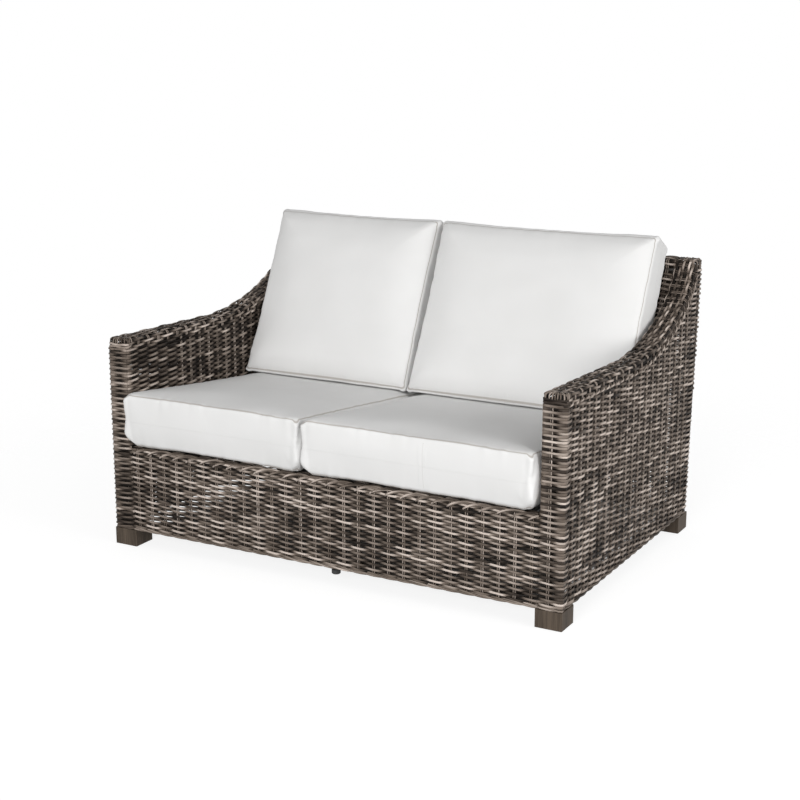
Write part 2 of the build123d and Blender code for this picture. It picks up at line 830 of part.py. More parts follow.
def cushions():
    """Two seat and two back cushions, each pair split a little to one side of the middle."""
    reach = arm_inner - cushion_side_gap
    for kind, shape, split in (
        ("seat", seat_cushion, seat_split_offset),
        ("back", back_cushion, back_split_offset),
    ):
        save(f"{kind}_cushion_left", shape(-reach, split - cushion_join_gap / 2))
        save(f"{kind}_cushion_right", shape(split + cushion_join_gap / 2, reach))


feet()
frame_posts()
base_rails()
seat_rails()
back_stays()
arm_rails()
centre_glide()
front_weave()
side_weave()
arm_caps()
back_weave()
cushions()
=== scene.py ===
"""Two seat outdoor loveseat: woven resin casing on a tube frame, block feet, loose cushions.

Metres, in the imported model's frame: +X to a sitter's left, -Y the front, +Z up.
"""
from math import pi, radians

import bmesh
import bpy
import numpy as np
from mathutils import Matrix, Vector


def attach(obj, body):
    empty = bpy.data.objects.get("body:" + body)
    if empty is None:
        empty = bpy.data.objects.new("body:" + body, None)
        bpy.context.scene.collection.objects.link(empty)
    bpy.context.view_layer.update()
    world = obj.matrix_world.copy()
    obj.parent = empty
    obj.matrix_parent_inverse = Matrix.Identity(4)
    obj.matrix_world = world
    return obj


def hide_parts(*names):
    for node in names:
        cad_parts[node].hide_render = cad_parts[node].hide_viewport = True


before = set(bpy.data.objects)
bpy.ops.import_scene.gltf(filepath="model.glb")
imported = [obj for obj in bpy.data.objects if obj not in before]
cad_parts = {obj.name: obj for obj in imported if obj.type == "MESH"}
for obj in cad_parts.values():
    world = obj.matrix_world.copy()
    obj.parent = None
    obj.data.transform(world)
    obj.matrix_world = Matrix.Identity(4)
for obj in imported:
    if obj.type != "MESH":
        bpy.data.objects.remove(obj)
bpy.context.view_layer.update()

# Camera, light and floor
# A long lens from the front and to the sitter's left, a little above the arms. White
# surroundings and two broad soft lamps. The pale floor takes the shadow, glows to the camera
# outside it, stays dark under the casing where the weave lets it show, and fades out far off.
camera = bpy.data.objects.new("camera", bpy.data.cameras.new("camera"))
camera.data.sensor_width = 36.0
camera.data.lens = 71.604
camera.location = (2.168, -3.9635, 1.549)
camera.rotation_euler = (radians(90 - 14.10), 0.0, radians(28.93))
bpy.context.collection.objects.link(camera)
bpy.context.scene.camera = camera
bpy.context.scene.view_settings.view_transform = "Standard"

for name, place, aim, size, power in (
    ("key_lamp", (1.0, -5.2, 1.65), (0.0, 0.0, 0.4), 2.6, 186.0),
    ("side_lamp", (4.6, -0.6, 1.5), (0.2, 0.0, 0.4), 2.4, 92.0),
):
    lamp = bpy.data.objects.new(name, bpy.data.lights.new(name, "AREA"))
    lamp.data.shape = "SQUARE"
    lamp.data.size = size
    lamp.data.energy = power
    lamp.location = place
    lamp.rotation_euler = (Vector(aim) - Vector(place)).to_track_quat("-Z", "Y").to_euler()
    bpy.context.collection.objects.link(lamp)


def add_node(tree, kind, values=(), **settings):
    """New shader node with its settings and the values of its own inputs."""
    node = tree.nodes.new("ShaderNode" + kind)
    for name, setting in settings.items():
        setattr(node, name, setting)
    for socket, value in dict(values).items():
        node.inputs[socket].default_value = value
    return node


def wire(tree, *wires):
    """Link nodes, each wire given as (node, output, node, input)."""
    for source, output, target, socket in wires:
        tree.links.new(source.outputs[output], target.inputs[socket])


WHITE = (1.0, 1.0, 1.0, 1.0)
world = bpy.data.worlds.new("studio")
world.use_nodes = True
bpy.context.scene.world = world
tree = world.node_tree
tree.nodes.clear()
lit = add_node(tree, "Background", {"Color": WHITE, "Strength": 0.35})
seen = add_node(tree, "Background", {"Color": WHITE, "Strength": 1.0})
ray = add_node(tree, "LightPath")
direct = add_node(tree, "Math", operation="MAXIMUM")
clear = add_node(tree, "Math", operation="MAXIMUM")
pick = add_node(tree, "MixShader")
surroundings = add_node(tree, "OutputWorld")
wire(
    tree,
    (ray, "Is Camera Ray", direct, 0),
    (ray, "Is Glossy Ray", direct, 1),
    (direct, "Value", clear, 0),
    (ray, "Is Transmission Ray", clear, 1),
    (clear, "Value", pick, "Fac"),
    (lit, "Background", pick, 1),
    (seen, "Background", pick, 2),
    (pick, "Shader", surroundings, "Surface"),
)

floor_mesh = bpy.data.meshes.new("floor")
floor_mesh.from_pydata([(-6, -6, 0), (6, -6, 0), (6, 6, 0), (-6, 6, 0)], [], [(0, 1, 2, 3)])
floor = bpy.data.objects.new("floor", floor_mesh)
bpy.context.collection.objects.link(floor)
floor_finish = bpy.data.materials.new("floor")
floor_finish.use_nodes = True
tree = floor_finish.node_tree
shader = tree.nodes["Principled BSDF"]
shader.inputs["Base Color"].default_value = (0.30, 0.30, 0.30, 1.0)
shader.inputs["Emission Color"].default_value = WHITE
shader.inputs["Roughness"].default_value = 0.9
shader.inputs["Specular IOR Level"].default_value = 0.1
place = add_node(tree, "TexCoord")
reach = add_node(tree, "VectorMath", operation="LENGTH")
fade = add_node(
    tree, "MapRange", {"From Min": 1.0, "From Max": 2.4}, interpolation_type="SMOOTHSTEP",
)
clear = add_node(tree, "BsdfTransparent")
pick = add_node(tree, "MixShader")
ray = add_node(tree, "LightPath")
seen = add_node(tree, "Math", operation="MAXIMUM")
bare = add_node(tree, "Math", operation="SUBTRACT", use_clamp=True)
glow = add_node(tree, "Math", {1: 0.83}, operation="MULTIPLY")
axes = add_node(tree, "SeparateXYZ")
covered = add_node(tree, "Math", {0: 1.0, 1: 1.0}, operation="MULTIPLY")
for axis, first, last, beyond in (
    ("X", -0.70, -0.66, 1.0),
    ("X", 0.58, 0.63, 0.0),
    ("Y", -0.35, -0.31, 1.0),
    ("Y", 0.60, 0.70, 0.0),
):
    border = add_node(
        tree, "MapRange", interpolation_type="SMOOTHSTEP",
        values={"From Min": first, "From Max": last, "To Min": 1.0 - beyond, "To Max": beyond},
    )
    both = add_node(tree, "Math", operation="MULTIPLY")
    wire(
        tree,
        (axes, axis, border, "Value"),
        (covered, "Value", both, 0),
        (border, "Result", both, 1),
    )
    covered = both
wire(
    tree,
    (place, "Object", axes, "Vector"),
    (ray, "Is Camera Ray", seen, 0),
    (ray, "Is Glossy Ray", seen, 1),
    (seen, "Value", bare, 0),
    (covered, "Value", bare, 1),
    (bare, "Value", glow, 0),
    (glow, "Value", shader, "Emission Strength"),
    (place, "Object", reach, 0),
    (reach, "Value", fade, "Value"),
    (fade, "Result", pick, "Fac"),
    (shader, "BSDF", pick, 1),
    (clear, "BSDF", pick, 2),
    (pick, "Shader", tree.nodes["Material Output"], "Surface"),
)
floor_mesh.materials.append(floor_finish)

# Woven resin strand
# All of the casing is made of extruded half-round resin strand in mixed beige, taupe,
# grey-brown and charcoal, laid as oval tubes that carry their own tone and grain. Their
# colour also holds painted shade along each strand's sides and back, and where it dips
# behind a stake.


def points_along(x, y, z):
    """Points or directions from three coordinates, of which some may be single numbers."""
    return np.stack(np.broadcast_arrays(x, y, z), 1).astype(float)


def strand_mesh(name, strands, sides=5):
    """Object made of closed oval tubes, one per strand.

    A strand is (centres, normals, width, thickness, tones, key). With T along the strand,
    W = unit(T x N) and M = W x T, its ring at a point is
    centre + W cos(f) width / 2 + M sin(f) thickness / 2.
    """
    turn = np.linspace(0.0, 2 * pi, sides, endpoint=False) - pi / 2
    points, tones, grains, corners, starts = [], [], [], [], []
    base = 0
    corner_count = 0
    for centres, normals, width, thickness, tone, key in strands:
        count = len(centres)
        travel = np.gradient(centres, axis=0)
        travel /= np.linalg.norm(travel, axis=1, keepdims=True)
        across = np.cross(travel, normals)
        across /= np.linalg.norm(across, axis=1, keepdims=True)
        outward = np.cross(across, travel)
        half_wide = (np.ones(count) * width / 2)[:, None, None]
        half_thick = (np.ones(count) * thickness / 2)[:, None, None]
        ring = (
            centres[:, None, :]
            + across[:, None, :] * np.cos(turn)[None, :, None] * half_wide
            + outward[:, None, :] * np.sin(turn)[None, :, None] * half_thick
        )
        gaps = np.linalg.norm(np.diff(centres, axis=0), axis=1)
        length = np.concatenate(([0.0], np.cumsum(gaps)))
        grain = np.empty((count, sides, 3))
        grain[:, :, 0] = length[:, None]
        grain[:, :, 1] = np.sin(turn)[None, :]
        grain[:, :, 2] = key
        points.append(ring.reshape(-1, 3))
        grains.append(grain.reshape(-1, 3))
        tones.append(np.repeat(np.ones(count) * tone, sides))
        first = np.arange(count - 1)[:, None] * sides + np.arange(sides)[None, :]
        beside = np.arange(count - 1)[:, None] * sides + (np.arange(sides)[None, :] + 1) % sides
        quads = np.stack([first, beside, beside + sides, first + sides], axis=2).reshape(-1) + base
        ends = np.concatenate([
            np.arange(sides)[::-1] + base,
            np.arange(sides) + base + (count - 1) * sides,
        ])
        corners.append(quads)
        starts.append(corner_count + np.arange(len(quads) // 4) * 4)
        corner_count += len(quads)
        corners.append(ends)
        starts.append(corner_count + np.array([0, sides]))
        corner_count += 2 * sides
        base += count * sides
    points = np.concatenate(points)
    corners = np.concatenate(corners)
    starts = np.concatenate(starts)
    mesh = bpy.data.meshes.new(name)
    mesh.vertices.add(len(points))
    mesh.vertices.foreach_set("co", points.ravel())
    mesh.loops.add(len(corners))
    mesh.loops.foreach_set("vertex_index", corners.astype(np.int32))
    mesh.polygons.add(len(starts))
    mesh.polygons.foreach_set("loop_start", starts.astype(np.int32))
    mesh.update(calc_edges=True)
    mesh.validate()
    mesh.shade_smooth()
    mesh.attributes.new("tone", "FLOAT", "POINT").data.foreach_set("value", np.concatenate(tones))
    grain_layer = mesh.attributes.new("grain", "FLOAT_VECTOR", "POINT")
    grain_layer.data.foreach_set("vector", np.concatenate(grains).ravel())
    piece = bpy.data.objects.new(name, mesh)
    bpy.context.collection.objects.link(piece)
    return piece


def drift(x, y, seed):
    """Smooth random field: values on a whole-number grid, eased between by 3t^2 - 2t^3."""
    table = np.random.default_rng(seed).random((97, 89))
    x, y = np.broadcast_arrays(np.asarray(x, float), np.asarray(y, float))
    column = np.floor(x).astype(int)
    row = np.floor(y).astype(int)
    right = x - column
    up = y - row
    right = right * right * (3 - 2 * right)
    up = up * up * (3 - 2 * up)
    a = table[column % 97, row % 89]
    b = table[(column + 1) % 97, row % 89]
    c = table[column % 97, (row + 1) % 89]
    d = table[(column + 1) % 97, (row + 1) % 89]
    return (a * (1 - right) + b * right) * (1 - up) + (c * (1 - right) + d * right) * up


STAKE_PITCH = 0.046
ROW_PITCH = 0.0149
HALF_ROW = ROW_PITCH / 2
BORDER = 0.009
FIRST_STAKE = STAKE_PITCH / 2
PAIR_OFFSET = 0.0028
strand_dice = np.random.default_rng(11)


def strand_tone(along, level, seed, own):
    """Tone 0 (charcoal) to 1 (light beige): patches that drift along and across rows, plus
    the strand's own slow change and its own shade."""
    patch = drift(along / 0.085 + 3 * seed, level / 0.036, 40 + seed)
    slow = drift(along / 0.09 + 50 * own, 7.3 * own + np.zeros_like(along), 80)
    return np.clip(0.69 + 0.24 * (patch - 0.5) + 0.62 * (slow - 0.5) + 0.26 * (own - 0.5), 0, 1)


def weaver(
    centres, normals, along, level, turn, fade=1.0, seed=0, hand=1.0, shift=0.0, full=1.0, own=None,
):
    """Strand that passes in front of every second stake and behind the others.

    With angle q = pi (along - first stake) / pitch + pi turn and V = N x T, it runs at
    centre + N a tanh(1.6 cos q) - V b sin q. a clears the stake, and b tilts each bar. Its
    colour is darkened where it dips behind, as painted shade.
    """
    travel = np.gradient(centres, axis=0)
    travel /= np.linalg.norm(travel, axis=1, keepdims=True)
    level_up = np.cross(normals, travel)
    angle = pi * (along - FIRST_STAKE) / STAKE_PITCH + pi * turn
    fade = fade * (1 + 0.2 * (drift(along / 0.03, 40 * level, 5 + turn % 2) - 0.5))
    front = np.tanh(1.6 * np.cos(angle))
    run = (
        centres
        + normals * (0.0033 * front * fade)[:, None]
        - level_up * (hand * 0.0011 * np.sin(angle) * fade)[:, None]
        + level_up * (0.0011 * (drift(along / 0.06, 130 * level, 3) - 0.5))[:, None]
    )
    own = strand_dice.random() if own is None else own
    # Painted shade: the tone drops where the strand runs behind a stake.
    tone = np.clip(strand_tone(along, level, seed, own) + shift - 0.29 * (1 - front) * fade, 0, 1)
    swell = 1 + 0.14 * (drift(along / 0.05, 90 * level, 9) - 0.5)
    wide = full * (0.0089 - 0.0018 * front) * swell
    return (run, normals, wide, 0.0038, tone, strand_dice.random() * 40)


def cut(strand, part):
    """The part of a strand between two of its points."""
    centres, normals, width, thickness, tone, key = strand
    return centres[part], normals[part], width[part], thickness, tone[part], key


def rope(centres, normals, along, count, period, radius, wide, low, high):
    """Strands laid round one another about a line, like a twisted edge cord."""
    travel = np.gradient(centres, axis=0)
    travel /= np.linalg.norm(travel, axis=1, keepdims=True)
    level_up = np.cross(normals, travel)
    laid = []
    for index in range(count):
        angle = 2 * pi * (along / period + index / count)
        around = normals * np.cos(angle)[:, None] - level_up * np.sin(angle)[:, None]
        run = centres + radius * around
        own = low + (high - low) * strand_dice.random()
        slow = drift(along / 0.07 + 50 * own, 9.1 * own + np.zeros_like(along), 81)
        tone = np.clip(own + 0.3 * (slow - 0.5), 0, 1)
        laid.append((run, normals, wide, 0.0040, tone, strand_dice.random() * 40))
    return laid


def stake_pair(make_line, shade=0.50):
    """Two round strands side by side, 3.6 mm thick and 5.6 mm apart, along a given line."""
    pair = []
    for aside in (-PAIR_OFFSET, PAIR_OFFSET):
        centres, normals = make_line(aside)
        tone = shade + 0.3 * strand_dice.random()
        pair.append((centres, normals, 0.0036, 0.0036, tone, strand_dice.random() * 40))
    return pair


def stake_places(low, high):
    """Places of the stakes between two distances along a wall."""
    first = int(np.ceil((low - FIRST_STAKE) / STAKE_PITCH))
    last = int(np.floor((high - FIRST_STAKE) / STAKE_PITCH))
    return [FIRST_STAKE + STAKE_PITCH * index for index in range(first, last + 1)]


def runs(mask):
    """Index ranges over which a mask holds without a break."""
    edges = np.flatnonzero(np.diff(np.concatenate(([0], mask.astype(int), [0]))))
    return [(a, b) for a, b in zip(edges[::2], edges[1::2]) if b - a > 3]


resin = bpy.data.materials.new("woven_resin")
resin.use_nodes = True
tree = resin.node_tree
shader = tree.nodes["Principled BSDF"]
shader.inputs["Roughness"].default_value = 0.5
shader.inputs["Specular IOR Level"].default_value = 0.09
tone_read = add_node(tree, "Attribute", attribute_name="tone")
grain_read = add_node(tree, "Attribute", attribute_name="grain")
streak_scale = add_node(tree, "VectorMath", {1: (9.0, 5.0, 1.0)}, operation="MULTIPLY")
streak = add_node(tree, "TexNoise", {"Scale": 1.0, "Detail": 3.0})
streak_amount = add_node(
    tree, "MapRange", {"From Min": 0.3, "From Max": 0.7, "To Min": -0.17, "To Max": 0.17},
)
total = add_node(tree, "Math", operation="ADD")
ramp = add_node(tree, "ValToRGB")
stops = ramp.color_ramp.elements
stops[0].position = 0.12
stops[0].color = (0.010, 0.0075, 0.006, 1.0)
stops[1].position = 0.92
stops[1].color = (0.66, 0.57, 0.505, 1.0)
for position, colour in (
    (0.34, (0.054, 0.042, 0.034, 1.0)),
    (0.55, (0.165, 0.132, 0.108, 1.0)),
    (0.74, (0.350, 0.292, 0.250, 1.0)),
):
    stops.new(position).color = colour
# Painted shade: the colour is darkened on the sides and back of each strand and is full only on its
# outward face.
crown = add_node(tree, "SeparateXYZ")
flank = add_node(
    tree, "MapRange", {"From Min": -0.3, "From Max": 0.75, "To Min": 0.45, "To Max": 1.0},
)
side_shade = add_node(tree, "Mix", {"Factor": 1.0}, data_type="RGBA", blend_type="MULTIPLY")
ridge_scale = add_node(tree, "VectorMath", {1: (14.0, 9.0, 1.0)}, operation="MULTIPLY")
ridge = add_node(tree, "TexNoise", {"Scale": 1.6, "Detail": 2.0})
bump = add_node(tree, "Bump", {"Strength": 0.35, "Distance": 0.0006})
wire(
    tree,
    (grain_read, "Vector", streak_scale, 0),
    (streak_scale, "Vector", streak, "Vector"),
    (streak, "Fac", streak_amount, "Value"),
    (tone_read, "Fac", total, 0),
    (streak_amount, "Result", total, 1),
    (total, "Value", ramp, "Fac"),
    (grain_read, "Vector", crown, "Vector"),
    (crown, "Y", flank, "Value"),
    (ramp, "Color", side_shade, "A"),
    (flank, "Result", side_shade, "B"),
    (side_shade, "Result", shader, "Base Color"),
    (grain_read, "Vector", ridge_scale, 0),
    (ridge_scale, "Vector", ridge, "Vector"),
    (ridge, "Fac", bump, "Height"),
    (bump, "Normal", shader, "Normal"),
)


def woven(name, strands, *replaced):
    """Turn strands into a finished woven piece that stands for its plain slabs."""
    piece = strand_mesh(name, strands)
    piece.data.materials.append(resin)
    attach(piece, "casing")
    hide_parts(*replaced)
    return piece


# Front apron
# Plain woven rows on pairs of upright stakes, from the feet to under the rim, with a rope
# border along the lower edge. Each row's shade carries on round the arms.
FRONT = -0.4825
FLOOR_EDGE = 0.051
STAKE_FOOT = FLOOR_EDGE + 0.002
WALL_MID = 0.0045
ARM_INNER = 0.640
RIM_TOP = 0.305
EDGE_CORD = FLOOR_EDGE + 0.0055
EDGE_TWIST = 3 * STAKE_PITCH
STEP = STAKE_PITCH / 7


def row_height(index):
    """Height of a row's strand."""
    return FLOOR_EDGE + BORDER + HALF_ROW * (index + 0.5)


def upright(x, y, nx, ny, z_low, z_high):
    """Line maker for a straight upright stake beside (x, y), facing (nx, ny)."""
    def make(aside):
        ends = points_along(x - ny * aside, y + nx * aside, np.array([z_low, z_high]))
        return ends, np.array([nx, ny, 0.0])
    return make


FORWARD = np.array([0.0, -1.0, 0.0])
row_shades = np.random.default_rng(12).random(102)
apron = []
along = np.linspace(-ARM_INNER, ARM_INNER, 196)
for index in range(32):
    z = row_height(index)
    centres = points_along(along, FRONT + WALL_MID, z)
    apron.append(weaver(
        centres, FORWARD, along, z, index, seed=1, shift=0.045, own=row_shades[index],
    ))
for place in stake_places(-ARM_INNER, ARM_INNER):
    apron += stake_pair(upright(place, FRONT + WALL_MID, 0.0, -1.0, STAKE_FOOT, 0.299))
edge_line = points_along(along, FRONT + WALL_MID, EDGE_CORD)
apron += rope(edge_line, FORWARD, along, 3, EDGE_TWIST, 0.0032, 0.0066, 0.34, 0.70)
woven("front_apron_weave", apron, "front_apron")

# Arm walls
# The rows of the apron run on round each arm's front corners: out along the tall outer
# side, and above the seat in along the inner side. They hug the posts at the corners.
ARM_OUTER = 0.710
CORNER = 0.010
BEND = CORNER - WALL_MID
BEND_RUN = BEND * pi / 2
BEND_Y = FRONT + CORNER
INNER_BEND = ARM_INNER + CORNER
OUTER_BEND = ARM_OUTER - CORNER
SIDE_START = OUTER_BEND + BEND_RUN
INNER_START = INNER_BEND - BEND_RUN


def plan(along, low=False):
    """Plan line of the right arm's walls as (x, y, nx, ny) at a distance along it.

    Distance equals x on the front. Corners are quarter circles about the posts. A low row
    has no inner corner: it comes straight from the apron.
    """
    x = along.copy()
    y = np.full_like(along, FRONT + WALL_MID)
    nx = np.zeros_like(along)
    ny = np.full_like(along, -1.0)
    bend = (along > OUTER_BEND) & (along <= SIDE_START)
    angle = (along[bend] - OUTER_BEND) / BEND
    x[bend] = OUTER_BEND + BEND * np.sin(angle)
    y[bend] = BEND_Y - BEND * np.cos(angle)
    nx[bend] = np.sin(angle)
    ny[bend] = -np.cos(angle)
    past = along > SIDE_START
    x[past] = ARM_OUTER - WALL_MID
    y[past] = BEND_Y + along[past] - SIDE_START
    nx[past] = 1.0
    ny[past] = 0.0
    if not low:
        bend = (along < INNER_BEND) & (along >= INNER_START)
        angle = (INNER_BEND - along[bend]) / BEND
        x[bend] = INNER_BEND - BEND * np.sin(angle)
        y[bend] = BEND_Y - BEND * np.cos(angle)
        nx[bend] = -np.sin(angle)
        ny[bend] = -np.cos(angle)
        past = along < INNER_START
        x[past] = ARM_INNER + WALL_MID
        y[past] = BEND_Y + INNER_START - along[past]
        nx[past] = -1.0
        ny[past] = 0.0
    return x, y, nx, ny


ARM_HIGH = 0.617
ARM_LOW = 0.603
ARM_STRAIGHT = 0.480
ARM_LONG = 0.930
BACK_TOP = 0.816
CAP_DEPTH = 0.028
CAP_BOTTOM = BACK_TOP - CAP_DEPTH


def arm_top_line():
    """Arm's top line in (y, z): a straight fall, then a cubic sweep up to the back."""
    start = np.array([FRONT + ARM_STRAIGHT, ARM_LOW])
    end = np.array([FRONT + ARM_LONG, CAP_BOTTOM + 0.0015])
    run = end - start
    first = start + run * (0.356, 0.011)
    second = start + run * (0.862, 0.372)
    t = np.linspace(0.0, 1.0, 120)[:, None]
    s = 1 - t
    sweep = s ** 3 * start + 3 * s * s * t * first + 3 * s * t * t * second + t ** 3 * end
    front = np.array([FRONT, ARM_HIGH])
    straight = front + np.linspace(0.0, 1.0, 60)[:-1, None] * (start - front)
    return np.concatenate([straight, sweep])


def with_frames(line):
    """A (y, z) line with its downward normals and the distance run along it."""
    slope = np.gradient(line, axis=0)
    slope /= np.linalg.norm(slope, axis=1, keepdims=True)
    run = np.concatenate(([0.0], np.cumsum(np.linalg.norm(np.diff(line, axis=0), axis=1))))
    return line, np.stack([slope[:, 1], -slope[:, 0]], 1), run


arm_top, arm_down, arm_run = with_frames(arm_top_line())
arm_under = arm_top + arm_down * CAP_DEPTH


def under_cap(y):
    """Height of the underside of the arm's cap at a depth y."""
    inside = np.interp(y, arm_under[:, 0], arm_under[:, 1])
    return np.where(y > arm_under[-1, 0], CAP_BOTTOM, inside)


DEPTH_LOW = 0.950
BACK_LEAN = 0.050


def outer_back(z):
    """Outer face of the leaning back at a height z."""
    return FRONT + DEPTH_LOW + BACK_LEAN * (z - FLOOR_EDGE) / (BACK_TOP - FLOOR_EDGE)


INNER_FOOT = FRONT + 0.705
INNER_LOW = 0.255
INNER_LEAN = 0.225 / (CAP_BOTTOM - INNER_LOW)


def inner_back(z):
    """Front face of the inner back at a height z."""
    return INNER_FOOT + INNER_LEAN * (z - INNER_LOW)


def lean_rows(y, z):
    """Rows above the rim close up a little towards the back, as the arm's top falls."""
    fall = np.clip((y - FRONT) / ARM_STRAIGHT, 0.0, 1.0) * (ARM_HIGH - ARM_LOW)
    return np.where(z > RIM_TOP, z - fall * (z - RIM_TOP) / (ARM_HIGH - CAP_DEPTH - RIM_TOP), z)


DECK_FALL = 0.07168


def deck(y):
    """Top of the seat slats at a depth y."""
    return RIM_TOP - DECK_FALL * (y - FRONT - 0.032)


def mirrored(strands):
    """The same strands on the left arm, still twisted the same way."""
    flip = np.array([-1.0, 1.0, 1.0])
    return [(centres * flip, normals * flip, *rest) for centres, normals, *rest in strands]


for side, hand in (("right", 1.0), ("left", -1.0)):
    front, outer, inner = [], [], []
    first_step = np.floor((INNER_START - 0.95 - ARM_INNER) / STEP)
    last_step = np.ceil((SIDE_START + 1.0 - ARM_INNER) / STEP)
    along = ARM_INNER + np.arange(first_step, last_step) * STEP
    for index in range(len(row_shades)):
        z = row_height(index)
        low = z < RIM_TOP
        x, y, nx, ny = plan(along, low)
        rise = lean_rows(y, z)
        clear = rise < np.where(y > FRONT + 0.938, BACK_TOP - 0.005, under_cap(y) + 0.001)
        turns = np.abs(along - OUTER_BEND - BEND_RUN / 2)
        if not low:
            turns = np.minimum(turns, np.abs(along - INNER_BEND + BEND_RUN / 2))
        hug = 0.35 + 0.65 * np.clip((turns - 0.010) / 0.020, 0.0, 1.0)
        normals = points_along(nx, ny, 0.0)
        centres = points_along(x, y, rise) + normals * (0.0050 * (1 - hug))[:, None]
        at_front = along <= SIDE_START + STEP
        above_seat = (y < inner_back(z)) & (rise > deck(y) - 0.012) & (not low or y > FRONT + 0.034)
        regions = (
            (front, at_front & (along >= (ARM_INNER if low else INNER_START) - 1e-6)),
            (outer, (along >= SIDE_START) & (y < outer_back(z) - 0.008)),
            (inner, above_seat & (along <= INNER_START + STEP) & (x < 0.65)),
        )
        # Painted shade: rows on the inner wall are darkened the further in they run.
        deep = np.clip((INNER_START - along) / 0.12, 0.0, 1.0)
        far = np.clip((along - SIDE_START) / 0.12, 0.0, 1.0)
        join = np.clip((OUTER_BEND - along) / (OUTER_BEND - ARM_INNER), 0.0, 1.0) * low
        row = weaver(
            centres, normals, hand * along, z, index, fade=hug, seed=1, hand=hand,
            shift=0.055 * far - 0.125 * deep - 0.065 + 0.11 * join,
            full=1 + 0.2 * deep + (0.08 if side == "right" else 0.2) * far, own=row_shades[index],
        )
        for strands, mask in regions:
            strands += [cut(row, slice(a, b)) for a, b in runs(mask & clear)]
    low_line = np.arange(ARM_INNER, SIDE_START + ARM_LONG, STEP)
    x, y, nx, ny = plan(low_line, True)
    edge_line = points_along(x, y, EDGE_CORD)
    edge_facing = points_along(nx, ny, 0.0)
    turned = low_line <= SIDE_START + STEP
    for strands, part in ((front, turned), (outer, low_line >= SIDE_START)):
        strands += rope(
            edge_line[part], edge_facing[part], hand * low_line[part], 3,
            hand * EDGE_TWIST, 0.0032, 0.0066, 0.30, 0.66,
        )
    for place in stake_places(-0.4, 1.8):
        line = hand * place
        x, y, nx, ny = (v[0] for v in plan(np.array([line])))
        if line < INNER_START - 0.001:
            if y > inner_back(deck(y)):
                floor_z = (y - INNER_FOOT) / INNER_LEAN + INNER_LOW
            else:
                floor_z = deck(y) - 0.012
            if y < FRONT + ARM_LONG and under_cap(y) - floor_z > 0.03:
                inner += stake_pair(upright(x, y, nx, ny, floor_z, float(under_cap(y))))
        elif line <= SIDE_START:
            low_end = STAKE_FOOT if line > ARM_INNER else RIM_TOP
            front += stake_pair(upright(x, y, nx, ny, low_end, float(under_cap(y))))
        elif y < outer_back(FLOOR_EDGE) - 0.016:
            outer += stake_pair(upright(x, y, nx, ny, STAKE_FOOT, float(under_cap(y))))
    if side == "left":
        front, outer, inner = (mirrored(strands) for strands in (front, outer, inner))
    woven(f"arm_front_weave_{side}", front, f"arm_front_{side}")
    woven(f"arm_outer_weave_{side}", outer, f"arm_outer_side_{side}")
    woven(f"arm_inner_weave_{side}", inner, f"arm_inner_side_{side}")

# Back walls
# The leaning outer back turns both rear corners, and the inner back leans behind the
# cushions. Both are level rows on stakes, like the arms.
outer, inner = [], []
half = OUTER_BEND
back_run = 2 * half + 2 * BEND_RUN
along = np.linspace(-back_run / 2, back_run / 2, int(6 * back_run / STAKE_PITCH) + 1)
angle = np.clip((np.abs(along) - half) / BEND, 0.0, pi / 2)
x = -np.sign(along) * (np.minimum(np.abs(along), half) + BEND * np.sin(angle))
nx = -np.sign(along) * np.sin(angle)
ny = np.cos(angle)
facing = points_along(nx, ny, 0.0)
ends = np.clip((back_run / 2 - np.abs(along)) / 0.012, 0.0, 1.0)
for index in range(len(row_shades)):
    z = row_height(index)
    if z > BACK_TOP - 0.005:
        continue
    y = outer_back(z) - CORNER + BEND * ny
    centres = points_along(x, y, z)
    for a, b in runs((np.abs(x) > 0.645) | (z < CAP_BOTTOM)):
        part = slice(a, b)
        outer.append(weaver(
            centres[part], facing[part], along[part], z, index, fade=ends[part], seed=4,
        ))
for place in stake_places(-half, half):
    def leaning(aside, place=place):
        """Straight stake in the leaning outer back."""
        heights = np.array([STAKE_FOOT, CAP_BOTTOM])
        return points_along(place + aside, outer_back(heights) - WALL_MID, heights), -FORWARD
    outer += stake_pair(leaning)
woven("back_outer_weave", outer, "back_outer")

slope = np.array([0.0, INNER_LEAN, 1.0]) / np.hypot(INNER_LEAN, 1.0)
facing = np.array([0.0, -1.0, INNER_LEAN]) / np.hypot(INNER_LEAN, 1.0)
along = np.arange(-ARM_INNER, ARM_INNER + STEP / 2, STEP)
height = (CAP_BOTTOM - INNER_LOW) * np.hypot(INNER_LEAN, 1.0)
for index in range(int(height / HALF_ROW)):
    up = HALF_ROW * (index + 0.5)
    foot = np.array([0.0, INNER_FOOT, INNER_LOW]) + slope * up - facing * WALL_MID
    centres = foot + along[:, None] * (1.0, 0.0, 0.0)
    inner.append(weaver(centres, facing, along, up, index, seed=5))
for place in stake_places(-ARM_INNER, ARM_INNER):
    def reclined(aside, place=place):
        """Straight stake in the inner back."""
        ups = np.array([[0.003], [height - 0.002]])
        foot = np.array([place + aside, INNER_FOOT, INNER_LOW]) - facing * WALL_MID
        return foot + slope * ups, facing
    inner += stake_pair(reclined)
woven("back_inner_weave", inner, "back_inner")

# Caps
# Rows run lengthwise over each arm and over the back, on the stakes' ends folded across.
# An arm ends in front in a fan of strands and a wrapped band, and a thin cord edges it.
CAP_BEND = 0.009
CAP_MID = 0.0015


